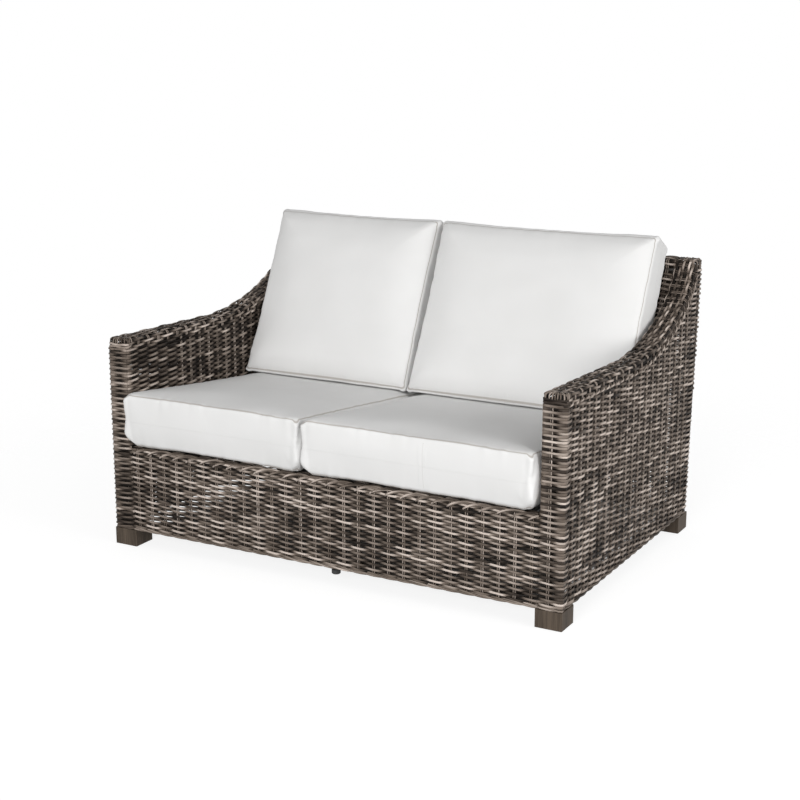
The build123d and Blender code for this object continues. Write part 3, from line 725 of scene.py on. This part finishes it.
def over_cap(width, depth=CAP_DEPTH):
    """Section over a cap from its outer lower edge to its inner one.

    Returns a function of distance that gives (sideways from the middle, drop from the top,
    normal sideways, normal up).
    """
    leg = depth - CAP_MID - CAP_BEND
    flat = width - 2 * WALL_MID - 2 * CAP_BEND
    arc = CAP_BEND * pi / 2
    length = 2 * leg + 2 * arc + flat

    def at(distance):
        fold = abs(distance - length / 2)
        way = 1.0 if distance < length / 2 else -1.0
        if fold < flat / 2:
            return way * fold, CAP_MID, 0.0, 1.0
        angle = min((fold - flat / 2) / CAP_BEND, pi / 2)
        down = max(fold - flat / 2 - arc, 0.0)
        aside = flat / 2 + CAP_BEND * np.sin(angle)
        drop = CAP_MID + CAP_BEND * (1 - np.cos(angle)) + down
        return way * aside, drop, way * np.sin(angle), np.cos(angle)
    return at, length


def over_the_back():
    """The arm's top line carried on up the sweep, over the back's cap and down behind it."""
    way = arm_top[-1] - arm_top[-2]
    lean = np.arctan2(way[1], way[0])
    rise = BACK_TOP - arm_top[-1, 1] - 0.022 * (1 - np.cos(lean))
    knee = arm_top[-1] + rise * np.array([1 / np.tan(lean), 1.0])
    turn = np.linspace(lean, 0.0, 8)
    crest = knee + 0.022 * np.stack([np.sin(lean) - np.sin(turn), np.cos(turn) - np.cos(lean)], 1)
    turn = np.linspace(0.0, 1.3, 6)
    fall = np.stack([np.sin(turn), np.cos(turn) - 1], 1)
    end = np.array([FRONT + 0.990, BACK_TOP]) + 0.009 * fall
    return np.concatenate([arm_top, crest, end])


cap_top, cap_down, cap_run = with_frames(over_the_back())
section, section_length = over_cap(ARM_OUTER - ARM_INNER)
folds = [section(distance) for distance in np.linspace(0.0, section_length, 22)]
CAP_ROWS = 12
ARM_MID = (ARM_OUTER + ARM_INNER) / 2
BACK_MID = FRONT + 0.965
for side, hand in (("right", 1.0), ("left", -1.0)):
    cap = []
    along = np.arange(0.003, cap_run[-1], STEP / 2)
    y = np.interp(along, cap_run, cap_top[:, 0])
    z = np.interp(along, cap_run, cap_top[:, 1])
    down_y = np.interp(along, cap_run, cap_down[:, 0])
    down_z = np.interp(along, cap_run, cap_down[:, 1])
    line = SIDE_START + along - CORNER
    loose = np.clip((y - FRONT - 0.60) / 0.10, 0.0, 1.0)
    pace = line + np.cumsum(loose) * STEP / 2
    for index in range(CAP_ROWS):
        aside, drop, out_x, out_up = section(section_length * (index + 0.5) / CAP_ROWS)
        centres = points_along(ARM_MID + aside, y + down_y * drop, z + down_z * drop)
        normals = points_along(out_x, -down_y * out_up, -down_z * out_up)
        clear = (along > 0.012) & ((drop < 0.012) | (along < arm_run[-1]))
        # Painted shade: the top rows under the fan's strands are darkened.
        under_fan_shade = np.clip((0.036 - along) / 0.004, 0, 1) * (drop < 0.012)
        cap.append(weaver(
            centres[clear], normals[clear], hand * pace[clear], 0.6 + 0.008 * index, index,
            fade=(1 - 0.5 * loose)[clear], seed=6, hand=hand,
            shift=(-0.07 - 0.40 * under_fan_shade + (0.05 - 0.36 * (index % 3 == 2)) * loose)[clear],
        ))
    lip = points_along(ARM_OUTER - 0.0030, y + down_y * CAP_DEPTH, z + down_z * CAP_DEPTH)
    clear = (along > 0.016) & (along < arm_run[-1])
    outward = np.array([1.0, 0.0, 0.0])
    cap += rope(lip[clear], outward, line[clear], 2, -0.034 * hand, 0.0030, 0.0062, 0.45, 0.85)
    for spread in np.radians(np.linspace(-80, 80, 13)):
        out = np.array([np.sin(spread), -np.cos(spread), 0.0])
        reach = min(0.0305 / max(abs(out[0]), 1e-6), 0.030 / max(-out[1], 1e-6))
        flat_run = np.linspace(0.006, reach - CAP_BEND, 5)
        bend = np.linspace(0.0, pi / 2, 6)[1:]
        ahead = np.concatenate([flat_run, reach - CAP_BEND + CAP_BEND * np.sin(bend), [reach]])
        fallen = np.concatenate([np.zeros(5), CAP_BEND * (1 - np.cos(bend)), [CAP_BEND + 0.006]])
        lean = np.concatenate([np.zeros(5), np.sin(bend), [1.0]])
        root = np.array([ARM_MID, FRONT + 0.0335, ARM_HIGH + 0.0004])
        centres = root + ahead[:, None] * out - fallen[:, None] * (0, 0, 1)
        normals = lean[:, None] * out + np.sqrt(1 - lean ** 2)[:, None] * (0, 0, 1)
        tone = 0.40 + 0.36 * strand_dice.random()
        cap.append((centres, normals, 0.0048, 0.0036, tone, strand_dice.random() * 40))
    wrap = np.arange(INNER_START - 0.022, SIDE_START + 0.026, 0.0035)
    x, y_wrap, nx, ny = plan(wrap)
    dive = np.clip((np.abs(wrap - ARM_MID) - (SIDE_START - ARM_MID)) / 0.026, 0, 1)
    for index in range(3):
        wave = 0.0012 * np.sin(2 * pi * wrap / 0.04 + 2 * index) - 0.0050 * dive
        facing_out = points_along(nx, ny, 0.0)
        level = ARM_HIGH - 0.0165 - 0.0068 * index
        level = level + 0.0012 * np.cos(2 * pi * wrap / 0.05 + 2.4 * index)
        centres = points_along(x, y_wrap, level) + facing_out * (0.0012 + wave)[:, None]
        shade = 0.28 if side == "right" else 0.76 - 0.1 * index
        shade = shade + 0.14 * (drift(wrap / 0.02, index, 61) - 0.5)
        cap.append((centres, facing_out, 0.0082, 0.0046, shade, strand_dice.random() * 40))
    for place in stake_places(-2.4, 2.4):
        if not pace[0] + 0.001 < hand * place < pace[-1] - 0.008:
            continue
        here = float(np.interp(hand * place, pace, along))
        def folded(aside, here=here):
            """Stake's end folded across the cap."""
            at = here + aside
            top = np.array([np.interp(at, cap_run, cap_top[:, k]) for k in (0, 1)])
            down = np.array([np.interp(at, cap_run, cap_down[:, k]) for k in (0, 1)])
            centres = np.array([(ARM_MID + s, *(top + down * drop)) for s, drop, _, _ in folds])
            normals = np.array([(out_x, *(-down * up)) for _, _, out_x, up in folds])
            return centres, normals
        cap += stake_pair(folded, 0.50 - 0.16 * float(np.interp(here, along, loose)))
    if side == "left":
        cap = mirrored(cap)
    woven(f"arm_cap_weave_{side}", cap, f"arm_cap_{side}")

back_cap = []
along = np.arange(-0.648, 0.648 + STEP / 2, STEP)
for index in range(CAP_ROWS):
    aside, drop, out_y, out_up = section(section_length * (index + 0.5) / CAP_ROWS)
    centres = points_along(along, BACK_MID - aside, BACK_TOP - drop)
    normals = np.array([0.0, -out_y, out_up])
    back_cap.append(weaver(
        centres, normals, along, 0.8 + 0.008 * index, index, seed=7, shift=-0.07,
    ))
for place in stake_places(-0.64, 0.64):
    def crossing(aside, place=place):
        """Stake's end folded over the back's cap."""
        x = place + aside
        centres = np.array([(x, BACK_MID - s, BACK_TOP - drop) for s, drop, _, _ in folds])
        normals = np.array([(0.0, -out_y, up) for _, _, out_y, up in folds])
        return centres, normals
    back_cap += stake_pair(crossing)
woven("back_cap_weave", back_cap, "back_cap")

# Front rim
# The apron's stakes bend over to the right in overlapping arches that make a rolled edge
# over the seat's front tube. Three woven rows close the top behind them.
rim = []
for place in stake_places(-ARM_INNER - 0.02, ARM_INNER):
    for aside in (-PAIR_OFFSET, PAIR_OFFSET):
        t = np.linspace(0.0, 1.0, 15)
        x = place + aside + STAKE_PITCH * (-0.12 + 2.2 * t)
        z = 0.2870 + 0.0150 * np.sin(pi * t) ** 0.75 + aside * 0.7
        y = FRONT - 0.0005 + 0.0115 * t ** 1.6
        inside = (x > -ARM_INNER) & (x < ARM_INNER)
        if inside.sum() < 4:
            continue
        centres = points_along(x, y, z)[inside]
        tone = 0.42 + 0.42 * strand_dice.random() + 0.16 * np.cos(2 * pi * t[inside])
        key = strand_dice.random() * 40
        rim.append((centres, np.array([0.0, -0.8, 0.6]), 0.0060, 0.0044, tone, key))
along = np.arange(-ARM_INNER, ARM_INNER + STEP / 2, STEP)
for index, deep in enumerate((0.0125, 0.020, 0.0275)):
    centres = points_along(along, FRONT + deep, RIM_TOP - 0.0058)
    upward = np.array([0.0, 0.0, 1.0])
    rim.append(weaver(centres, upward, along, 0.3 + deep, index, seed=8))
woven("front_rim_braid", rim, "front_rim")

# Frame, feet and fastenings
# Welded aluminium tube in a dark powder coat, block feet of greyed teak with upright grain,
# zinc plated plates and screws, black nylon rest pads and a moulded rubber glide.
grit = bpy.data.node_groups.new("surface_grit", "ShaderNodeTree")
grit.interface.new_socket("Vector", in_out="INPUT", socket_type="NodeSocketVector")
grit.interface.new_socket("Fineness", in_out="INPUT", socket_type="NodeSocketFloat")
grit.interface.new_socket("Dark", in_out="INPUT", socket_type="NodeSocketColor")
grit.interface.new_socket("Light", in_out="INPUT", socket_type="NodeSocketColor")
grit.interface.new_socket("Color", in_out="OUTPUT", socket_type="NodeSocketColor")
grit.interface.new_socket("Height", in_out="OUTPUT", socket_type="NodeSocketFloat")
given = grit.nodes.new("NodeGroupInput")
result = grit.nodes.new("NodeGroupOutput")
fine = add_node(grit, "TexNoise", {"Detail": 4.0})
broad = add_node(grit, "TexNoise", {"Scale": 14.0, "Detail": 3.0})
blend = add_node(grit, "Mix", data_type="RGBA")
wire(
    grit,
    (given, "Vector", fine, "Vector"),
    (given, "Vector", broad, "Vector"),
    (given, "Fineness", fine, "Scale"),
    (broad, "Fac", blend, "Factor"),
    (given, "Dark", blend, "A"),
    (given, "Light", blend, "B"),
    (blend, "Result", result, "Color"),
    (fine, "Fac", result, "Height"),
)


def plain_finish(name, dark, light, roughness, metallic, fineness, depth):
    """Material with a broad colour change between two shades and a fine grit relief."""
    material = bpy.data.materials.new(name)
    material.use_nodes = True
    tree = material.node_tree
    shader = tree.nodes["Principled BSDF"]
    shader.inputs["Roughness"].default_value = roughness
    shader.inputs["Metallic"].default_value = metallic
    place = add_node(tree, "TexCoord")
    shades = {"Fineness": fineness, "Dark": (*dark, 1.0), "Light": (*light, 1.0)}
    body = add_node(tree, "Group", shades, node_tree=grit)
    relief = add_node(tree, "Bump", {"Strength": 0.5, "Distance": depth})
    wire(
        tree,
        (place, "Object", body, "Vector"),
        (body, "Color", shader, "Base Color"),
        (body, "Height", relief, "Height"),
        (relief, "Normal", shader, "Normal"),
    )
    return material


def finish_nodes(material, *starts):
    """Give a material to every CAD node whose name starts with one of the words."""
    for name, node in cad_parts.items():
        if name.startswith(starts):
            node.data.materials.clear()
            node.data.materials.append(material)


powder_coat = plain_finish(
    "powder_coat", (0.030, 0.026, 0.023), (0.046, 0.040, 0.035), 0.52, 0.0, 900.0, 0.0002,
)
finish_nodes(
    powder_coat, "base_rail", "seat_rail", "seat_slats", "arm_rail", "back_stay", "back_top_rail",
    "back_inner_rail", "front_post", "back_post", "centre_post",
)
plated = plain_finish(
    "zinc_plate", (0.52, 0.53, 0.55), (0.66, 0.66, 0.67), 0.34, 1.0, 600.0, 0.00006,
)
finish_nodes(
    plated,
    "foot_plates", "foot_bolts", "foot_nuts", "glide_insert", "glide_lock_nut", "glide_stud",
)
nylon = plain_finish(
    "nylon_pad", (0.016, 0.016, 0.016), (0.026, 0.026, 0.026), 0.45, 0.0, 1400.0, 0.00008,
)
finish_nodes(nylon, "foot_pad")
rubber = plain_finish(
    "glide_rubber", (0.012, 0.012, 0.013), (0.022, 0.022, 0.022), 0.62, 0.0, 1100.0, 0.0001,
)
finish_nodes(rubber, "glide_pad")

teak = bpy.data.materials.new("greyed_teak")
teak.use_nodes = True
tree = teak.node_tree
shader = tree.nodes["Principled BSDF"]
shader.inputs["Roughness"].default_value = 0.6
shader.inputs["Specular IOR Level"].default_value = 0.2
place = add_node(tree, "TexCoord")
stretch = add_node(tree, "VectorMath", {1: (210.0, 210.0, 9.0)}, operation="MULTIPLY")
grain = add_node(tree, "TexNoise", {"Scale": 1.0, "Detail": 6.0, "Distortion": 0.6})
figure = add_node(tree, "VectorMath", {1: (34.0, 34.0, 3.0)}, operation="MULTIPLY")
bands = add_node(tree, "TexNoise", {"Scale": 1.0, "Detail": 2.0})
both = add_node(tree, "Math", {1: 0.55}, operation="MULTIPLY_ADD")
spread = add_node(tree, "Math", {1: 0.5}, operation="MULTIPLY")
shades = add_node(tree, "ValToRGB")
shades.color_ramp.elements[0].position = 0.36
shades.color_ramp.elements[0].color = (0.036, 0.027, 0.0195, 1.0)
shades.color_ramp.elements[1].position = 0.70
shades.color_ramp.elements[1].color = (0.118, 0.090, 0.067, 1.0)
relief = add_node(tree, "Bump", {"Strength": 0.6, "Distance": 0.0005})
wire(
    tree,
    (place, "Object", stretch, 0),
    (stretch, "Vector", grain, "Vector"),
    (place, "Object", figure, 0),
    (figure, "Vector", bands, "Vector"),
    (bands, "Fac", spread, 0),
    (grain, "Fac", both, 0),
    (spread, "Value", both, 2),
    (both, "Value", shades, "Fac"),
    (shades, "Color", shader, "Base Color"),
    (grain, "Fac", relief, "Height"),
    (relief, "Normal", shader, "Normal"),
)
finish_nodes(teak, "foot_front", "foot_back")

# Cushion canvas
# Off-white solution-dyed canvas with a fine square weave. Close to a seam it turns into a
# dark sewn line, and it puckers in short folds that run square to the seam.
canvas = bpy.data.materials.new("cushion_canvas")
canvas.use_nodes = True
tree = canvas.node_tree
shader = tree.nodes["Principled BSDF"]
shader.inputs["Roughness"].default_value = 0.85
shader.inputs["Specular IOR Level"].default_value = 0.25
shader.inputs["Sheen Weight"].default_value = 0.08
shader.inputs["Sheen Roughness"].default_value = 0.5
seam_off = add_node(tree, "Attribute", attribute_name="seam_off")
seam_place = add_node(tree, "Attribute", attribute_name="seam_place")
away = add_node(tree, "VectorMath", operation="LENGTH")
sewn = add_node(
    tree, "MapRange", {"From Min": 0.0004, "From Max": 0.0021}, interpolation_type="SMOOTHSTEP",
)
shade = add_node(tree, "Mix", {"A": (0.50, 0.47, 0.44, 1.0)}, data_type="RGBA")
place = add_node(tree, "TexCoord")
cloud = add_node(tree, "TexNoise", {"Scale": 7.0, "Detail": 3.0})
off_whites = {"A": (0.775, 0.772, 0.762, 1.0), "B": (0.835, 0.832, 0.826, 1.0)}
tint = add_node(tree, "Mix", off_whites, data_type="RGBA")
fold = add_node(tree, "TexNoise", {"Scale": 75.0, "Detail": 2.0})
near = add_node(
    tree, "MapRange", {"From Min": 0.002, "From Max": 0.030, "To Min": 1.0, "To Max": 0.0},
    interpolation_type="SMOOTHSTEP",
)
pucker = add_node(tree, "Math", operation="MULTIPLY")
warp = add_node(tree, "TexWave", {"Scale": 190.0}, bands_direction="X")
weft = add_node(tree, "TexWave", {"Scale": 190.0}, bands_direction="DIAGONAL")
turned = add_node(tree, "VectorMath", {1: (0.0, 1.0, 1.0)}, operation="MULTIPLY")
threads = add_node(tree, "Math", operation="MULTIPLY")
soft = add_node(tree, "Bump", {"Strength": 0.45, "Distance": 0.0022})
cloth = add_node(tree, "Bump", {"Strength": 0.25, "Distance": 0.0002})
wire(
    tree,
    (seam_off, "Vector", away, 0),
    (away, "Value", sewn, "Value"),
    (sewn, "Result", shade, "Factor"),
    (place, "Object", cloud, "Vector"),
    (cloud, "Fac", tint, "Factor"),
    (tint, "Result", shade, "B"),
    (shade, "Result", shader, "Base Color"),
    (seam_place, "Vector", fold, "Vector"),
    (away, "Value", near, "Value"),
    (fold, "Fac", pucker, 0),
    (near, "Result", pucker, 1),
    (pucker, "Value", soft, "Height"),
    (place, "Object", warp, "Vector"),
    (place, "Object", turned, 0),
    (turned, "Vector", weft, "Vector"),
    (warp, "Fac", threads, 0),
    (weft, "Fac", threads, 1),
    (threads, "Value", cloth, "Height"),
    (soft, "Normal", cloth, "Normal"),
    (cloth, "Normal", shader, "Normal"),
)

# Seat and back cushions
# Boxed cushions: two panels of canvas sewn to a boxing strip over foam. The seat pair lies
# on the slats, and the back pair stands on it and leans on the inner back.
SPANS = {
    "seat": (("left", (-0.638, -0.0485)), ("right", (-0.0455, 0.638))),
    "back": (("left", (-0.638, -0.0615)), ("right", (-0.0585, 0.638))),
}
SEAT_LIP = FRONT - 0.035
SEAT_FALL = 0.110401
BACK_FOOT = FRONT + 0.582
SEAT_MIDDLE = 0.39
BOXING_JOIN = 0.326
CUSHION_CORNER = 0.020
DRAW_IN = 0.005


def seat_plane(y):
    """Flat zone of a seat cushion's crown, on which the back cushion stands."""
    return 0.484 - SEAT_FALL * (y - SEAT_LIP)


def ceiling(y):
    """Highest the seat cushions may swell: pressed in 7 mm by the back pair, and up to 9 mm
    over the flat zone ahead of it."""
    t = np.clip((BACK_FOOT - y) / 0.12, 0.0, 1.0)
    return seat_plane(y) - 0.007 + 0.016 * t * t * (3 - 2 * t)


def to_back(lip_height, fall):
    """(y, z) line with a given fall, from the seat's lip to 6 mm off the inner back."""
    reach = INNER_FOOT - 0.006 + INNER_LEAN * (lip_height + fall * SEAT_LIP - INNER_LOW)
    y = reach / (1 + INNER_LEAN * fall)
    return (SEAT_LIP, lip_height), (y, lip_height - fall * (y - SEAT_LIP))


def seam_frame(points, span, line, inset):
    """How far each point is from a seam, and where on the seam it is nearest.

    The seam is a rounded rectangle in the plane through X and a (y, z) line, with its sides
    drawn in along parabolas. With q = |p| - half size + corner in that plane, the signed
    distance is |max(q, 0)| + min(max(q), 0) - corner. Returns it with the height off the
    plane, the nearest place as two distances in the plane, and the step that would draw a
    round corner out: q (2 qx qy / |q|^2)^2.
    """
    start, end = (np.array(p) for p in line)
    length = np.linalg.norm(end - start)
    way = (end - start) / length
    u = points[:, 0] - sum(span) / 2
    v = (points[:, 1:] - start) @ way - length / 2
    lift = (points[:, 1:] - start) @ np.array([-way[1], way[0]])
    half_u = (span[1] - span[0]) / 2 - inset
    half_v = length / 2 - inset
    wide = half_u - DRAW_IN * (1 - np.clip(v / half_v, -1, 1) ** 2)
    tall = half_v - DRAW_IN * (1 - np.clip(u / half_u, -1, 1) ** 2)
    q = np.stack([np.abs(u) - wide, np.abs(v) - tall], 1) + CUSHION_CORNER
    past = np.maximum(q, 0.0)
    size = np.linalg.norm(past, axis=1)
    flat = size + np.minimum(q.max(axis=1), 0.0) - CUSHION_CORNER
    edge = np.where(q[:, :1] > q[:, 1:], [[1.0, 0.0]], [[0.0, 1.0]])
    side = np.where(size[:, None] > 1e-9, past / np.maximum(size, 1e-9)[:, None], edge)
    signs = np.sign(np.stack([u, v], 1))
    side = side * signs
    square = (2 * past[:, :1] * past[:, 1:] / np.maximum(size, 1e-9)[:, None] ** 2) ** 2
    step = past * square * signs
    out = np.concatenate([step[:, :1], step[:, 1:] * way], 1)
    return flat, lift, np.stack([u, v], 1) - side * flat[:, None], out


def seam_fields(points, span, seams):
    """Offsets to the nearest of a cushion's seams, the place on it, and the corners' step."""
    found = [seam_frame(points, span, line, inset) for line, inset in seams]
    gaps = np.stack([np.hypot(flat, lift) for flat, lift, _, _ in found], 1)
    nearest = gaps.argmin(axis=1)
    share = 1 / (gaps + 0.0005) ** 2
    share /= share.sum(axis=1, keepdims=True)
    out = sum(share[:, index, None] * found[index][3] for index in range(len(found)))
    offset = np.zeros((len(points), 3))
    place = np.zeros((len(points), 3))
    for index, (flat, lift, spot, _) in enumerate(found):
        own = nearest == index
        offset[own, 0] = np.maximum(np.abs(flat[own]) - 0.009, 0.0)
        offset[own, 1] = lift[own]
        place[own, :2] = spot[own]
        place[own, 2] = index
    return gaps.min(axis=1), offset, place, out


def read(items, what):
    """A vector of each vertex or vertex normal, as an array."""
    flat = np.empty(3 * len(items))
    items.foreach_get(what, flat)
    return flat.reshape(-1, 3)


def baked(piece):
    """Replace a piece's mesh by what its modifiers make of it, and drop them."""
    bpy.context.view_layer.update()
    graph = bpy.context.evaluated_depsgraph_get()
    mesh = bpy.data.meshes.new_from_object(piece.evaluated_get(graph))
    piece.modifiers.clear()
    piece.data = mesh


def settle(points, span, seat):
    """Press a swollen cushion back inside its own space, flat against what carries it."""
    points[:, 0] = np.clip(points[:, 0], span[0] + 0.0004, span[1] - 0.0004)
    y, z = points[:, 1], points[:, 2]
    if seat:
        y[:] = np.minimum(y, inner_back(z) - 0.0064)
        y[:] = np.maximum(y, SEAT_LIP - 0.006)
        z[:] = np.clip(z, deck(y) + 0.0003, ceiling(y) - 0.0001)
    else:
        ahead = (inner_back(z) - y) / np.hypot(1.0, INNER_LEAN)
        push = np.maximum(0.0005 - ahead, 0.0)
        y -= push / np.hypot(1.0, INNER_LEAN)
        z += push * INNER_LEAN / np.hypot(1.0, INNER_LEAN)
        z[:] = np.maximum(z, ceiling(y) + 0.0004)


cushions = []
for kind, spans in SPANS.items():
    for side, span in spans:
        if kind == "seat":
            low = deck(SEAT_LIP) + 0.0097
            seams = ((to_back(0.466, SEAT_FALL), 0.0), (to_back(low, DECK_FALL), 0.0076))
        else:
            seams = (
                (((BACK_FOOT, 0.41628), (FRONT + 0.812, 0.900)), 0.0),
                (((FRONT + 0.712, 0.40193), (FRONT + 0.90683, 0.85491)), 0.0),
            )
        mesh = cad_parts[f"{kind}_cushion_{side}"].data.copy()
        merged = bmesh.new()
        merged.from_mesh(mesh)
        bmesh.ops.remove_doubles(merged, verts=merged.verts, dist=0.00002)
        merged.to_mesh(mesh)
        merged.free()
        for layer in [layer.name for layer in mesh.uv_layers]:
            mesh.uv_layers.remove(mesh.uv_layers[layer])
        piece = bpy.data.objects.new(f"{kind}_pad_{side}", mesh)
        bpy.context.collection.objects.link(piece)
        start = read(mesh.vertices, "co") - 0.004 * read(mesh.vertex_normals, "vector")
        mesh.vertices.foreach_set("co", start.ravel())
        remesh = piece.modifiers.new("remesh", "REMESH")
        remesh.mode = "VOXEL"
        remesh.voxel_size = 0.007
        baked(piece)
        cushions.append((piece, kind, side, span, seams))

for piece, kind, side, span, seams in cushions:
    inner_seams = [(line, inset + 0.004) for line, inset in seams]
    gap, _, _, _ = seam_fields(read(piece.data.vertices, "co"), span, inner_seams)
    sewn_edge = piece.vertex_groups.new(name="sewn_edge")
    sewn_edge.add(np.flatnonzero(gap < 0.006).tolist(), 1.0, "REPLACE")
    cloth = piece.modifiers.new("cloth", "CLOTH")
    cloth.settings.vertex_group_mass = "sewn_edge"
    cloth.settings.use_pressure = True
    cloth.settings.uniform_pressure_force = 4.0
    cloth.settings.effector_weights.gravity = 0.0
before = [read(piece.data.vertices, "co") for piece, *_ in cushions]
for step in range(1, 21):
    bpy.context.scene.frame_set(step)
graph = bpy.context.evaluated_depsgraph_get()
for (piece, kind, side, span, seams), start in zip(cushions, before):
    swollen = read(piece.evaluated_get(graph).data.vertices, "co")
    move = swollen - start
    size = np.maximum(np.linalg.norm(move, axis=1, keepdims=True), 1e-9)
    limit = 0.022 if kind == "seat" else 0.028
    after = start + move * limit * np.tanh(size / limit) / size
    piece.modifiers.clear()
    piece.vertex_groups.clear()
    piece.data.vertices.foreach_set("co", after.ravel())
bpy.context.scene.frame_set(1)

for piece, kind, side, span, seams in cushions:
    # Fill the width between the arms and the neighbour, and settle on what carries it.
    points = read(piece.data.vertices, "co")
    low, high = points[:, 0].min(), points[:, 0].max()
    fill = (span[1] - span[0] - 0.001) / (high - low)
    points[:, 0] = sum(span) / 2 + (points[:, 0] - (low + high) / 2) * fill
    if kind == "back":
        over = np.clip((points[:, 2] - ceiling(points[:, 1])) / 0.07, 0.0, 1.0)
        points[:, 2] -= 0.0075 * (1 - over * over * (3 - 2 * over))
    settle(points, span, kind == "seat")
    piece.data.vertices.foreach_set("co", points.ravel())
    piece.data.update()
    smooth = piece.modifiers.new("subdivision", "SUBSURF")
    smooth.levels = 1
    smooth.render_levels = 1
    baked(piece)
    points = read(piece.data.vertices, "co")
    normals = read(piece.data.vertex_normals, "vector")
    inset = 0.003
    if kind == "back":
        # Crown the front panel, more towards the top, and roll the top edge back.
        (y0, z0), (y1, z1) = seams[0][0]
        length = np.hypot(y1 - y0, z1 - z0)
        flat, lift, _, _ = seam_frame(points, span, seams[0][0], inset)
        upper = np.clip((points[:, 2] - 0.60) / 0.22, 0.0, 1.0)
        puff = 0.004 + 0.013 * upper
        taper = 0.022 + 0.018 * upper
        puff *= (1 - np.exp(np.minimum(flat, 0.0) / taper)) * np.clip(lift / 0.006, 0.0, 1.0)
        points += puff[:, None] * np.array([0.0, -(z1 - z0) / length, (y1 - y0) / length])
        past_foot = (points[:, 1] - y0) * (y1 - y0) + (points[:, 2] - z0) * (z1 - z0)
        below_top = length - past_foot / length
        roll = (1 - np.clip(below_top / 0.045, 0.0, 1.0)) ** 2 * np.clip(1 + lift / 0.10, 0.0, 1.0)
        points[:, 1] += 0.017 * roll
        points[:, 2] += 0.004 * roll
    # Draw the round corners out, lower a seat's top corners, and sew the boxing's join.
    inset_seams = [(line, deep + inset) for line, deep in seams]
    gap, offset, place, out = seam_fields(points, span, inset_seams)
    points += 0.36 * out
    if kind == "seat":
        from_middle = np.clip((points[:, 2] - SEAT_MIDDLE) / 0.06, -1.0, 1.0)
        points[:, 2] -= 0.42 * np.linalg.norm(out, axis=1) * from_middle
    if kind == "seat" and side == "right":
        aside = points[:, 0] - BOXING_JOIN
        joined = (np.abs(aside) < 0.012) & (points[:, 1] < SEAT_LIP + 0.02) & (gap > 0.012)
        offset[joined, 0] = aside[joined]
        offset[joined, 1] = 0.0015
    # Press the seams in, pucker the canvas beside them, and let the panels wave a little.
    groove = -0.0022 * np.exp(-(gap / 0.0042) ** 2)
    fold = drift(place[:, 0] / 0.017 + 31 * place[:, 2], place[:, 1] / 0.017, 17) - 0.5
    fold = 0.0026 * fold * np.exp(-gap / 0.024)
    soft = 0.0035 * (drift(points[:, 0] / 0.11, (points[:, 1] + 2 * points[:, 2]) / 0.11, 23) - 0.5)
    points = points + normals * (groove + fold + soft)[:, None]
    settle(points, span, kind == "seat")
    piece.data.vertices.foreach_set("co", points.ravel())
    piece.data.update()
    piece.data.shade_smooth()
    for name, values in (("seam_off", offset), ("seam_place", place)):
        layer = piece.data.attributes.new(name, "FLOAT_VECTOR", "POINT")
        layer.data.foreach_set("vector", values.ravel())
    piece.data.materials.clear()
    piece.data.materials.append(canvas)
    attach(piece, f"{kind}_{side}")
    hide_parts(f"{kind}_cushion_{side}")
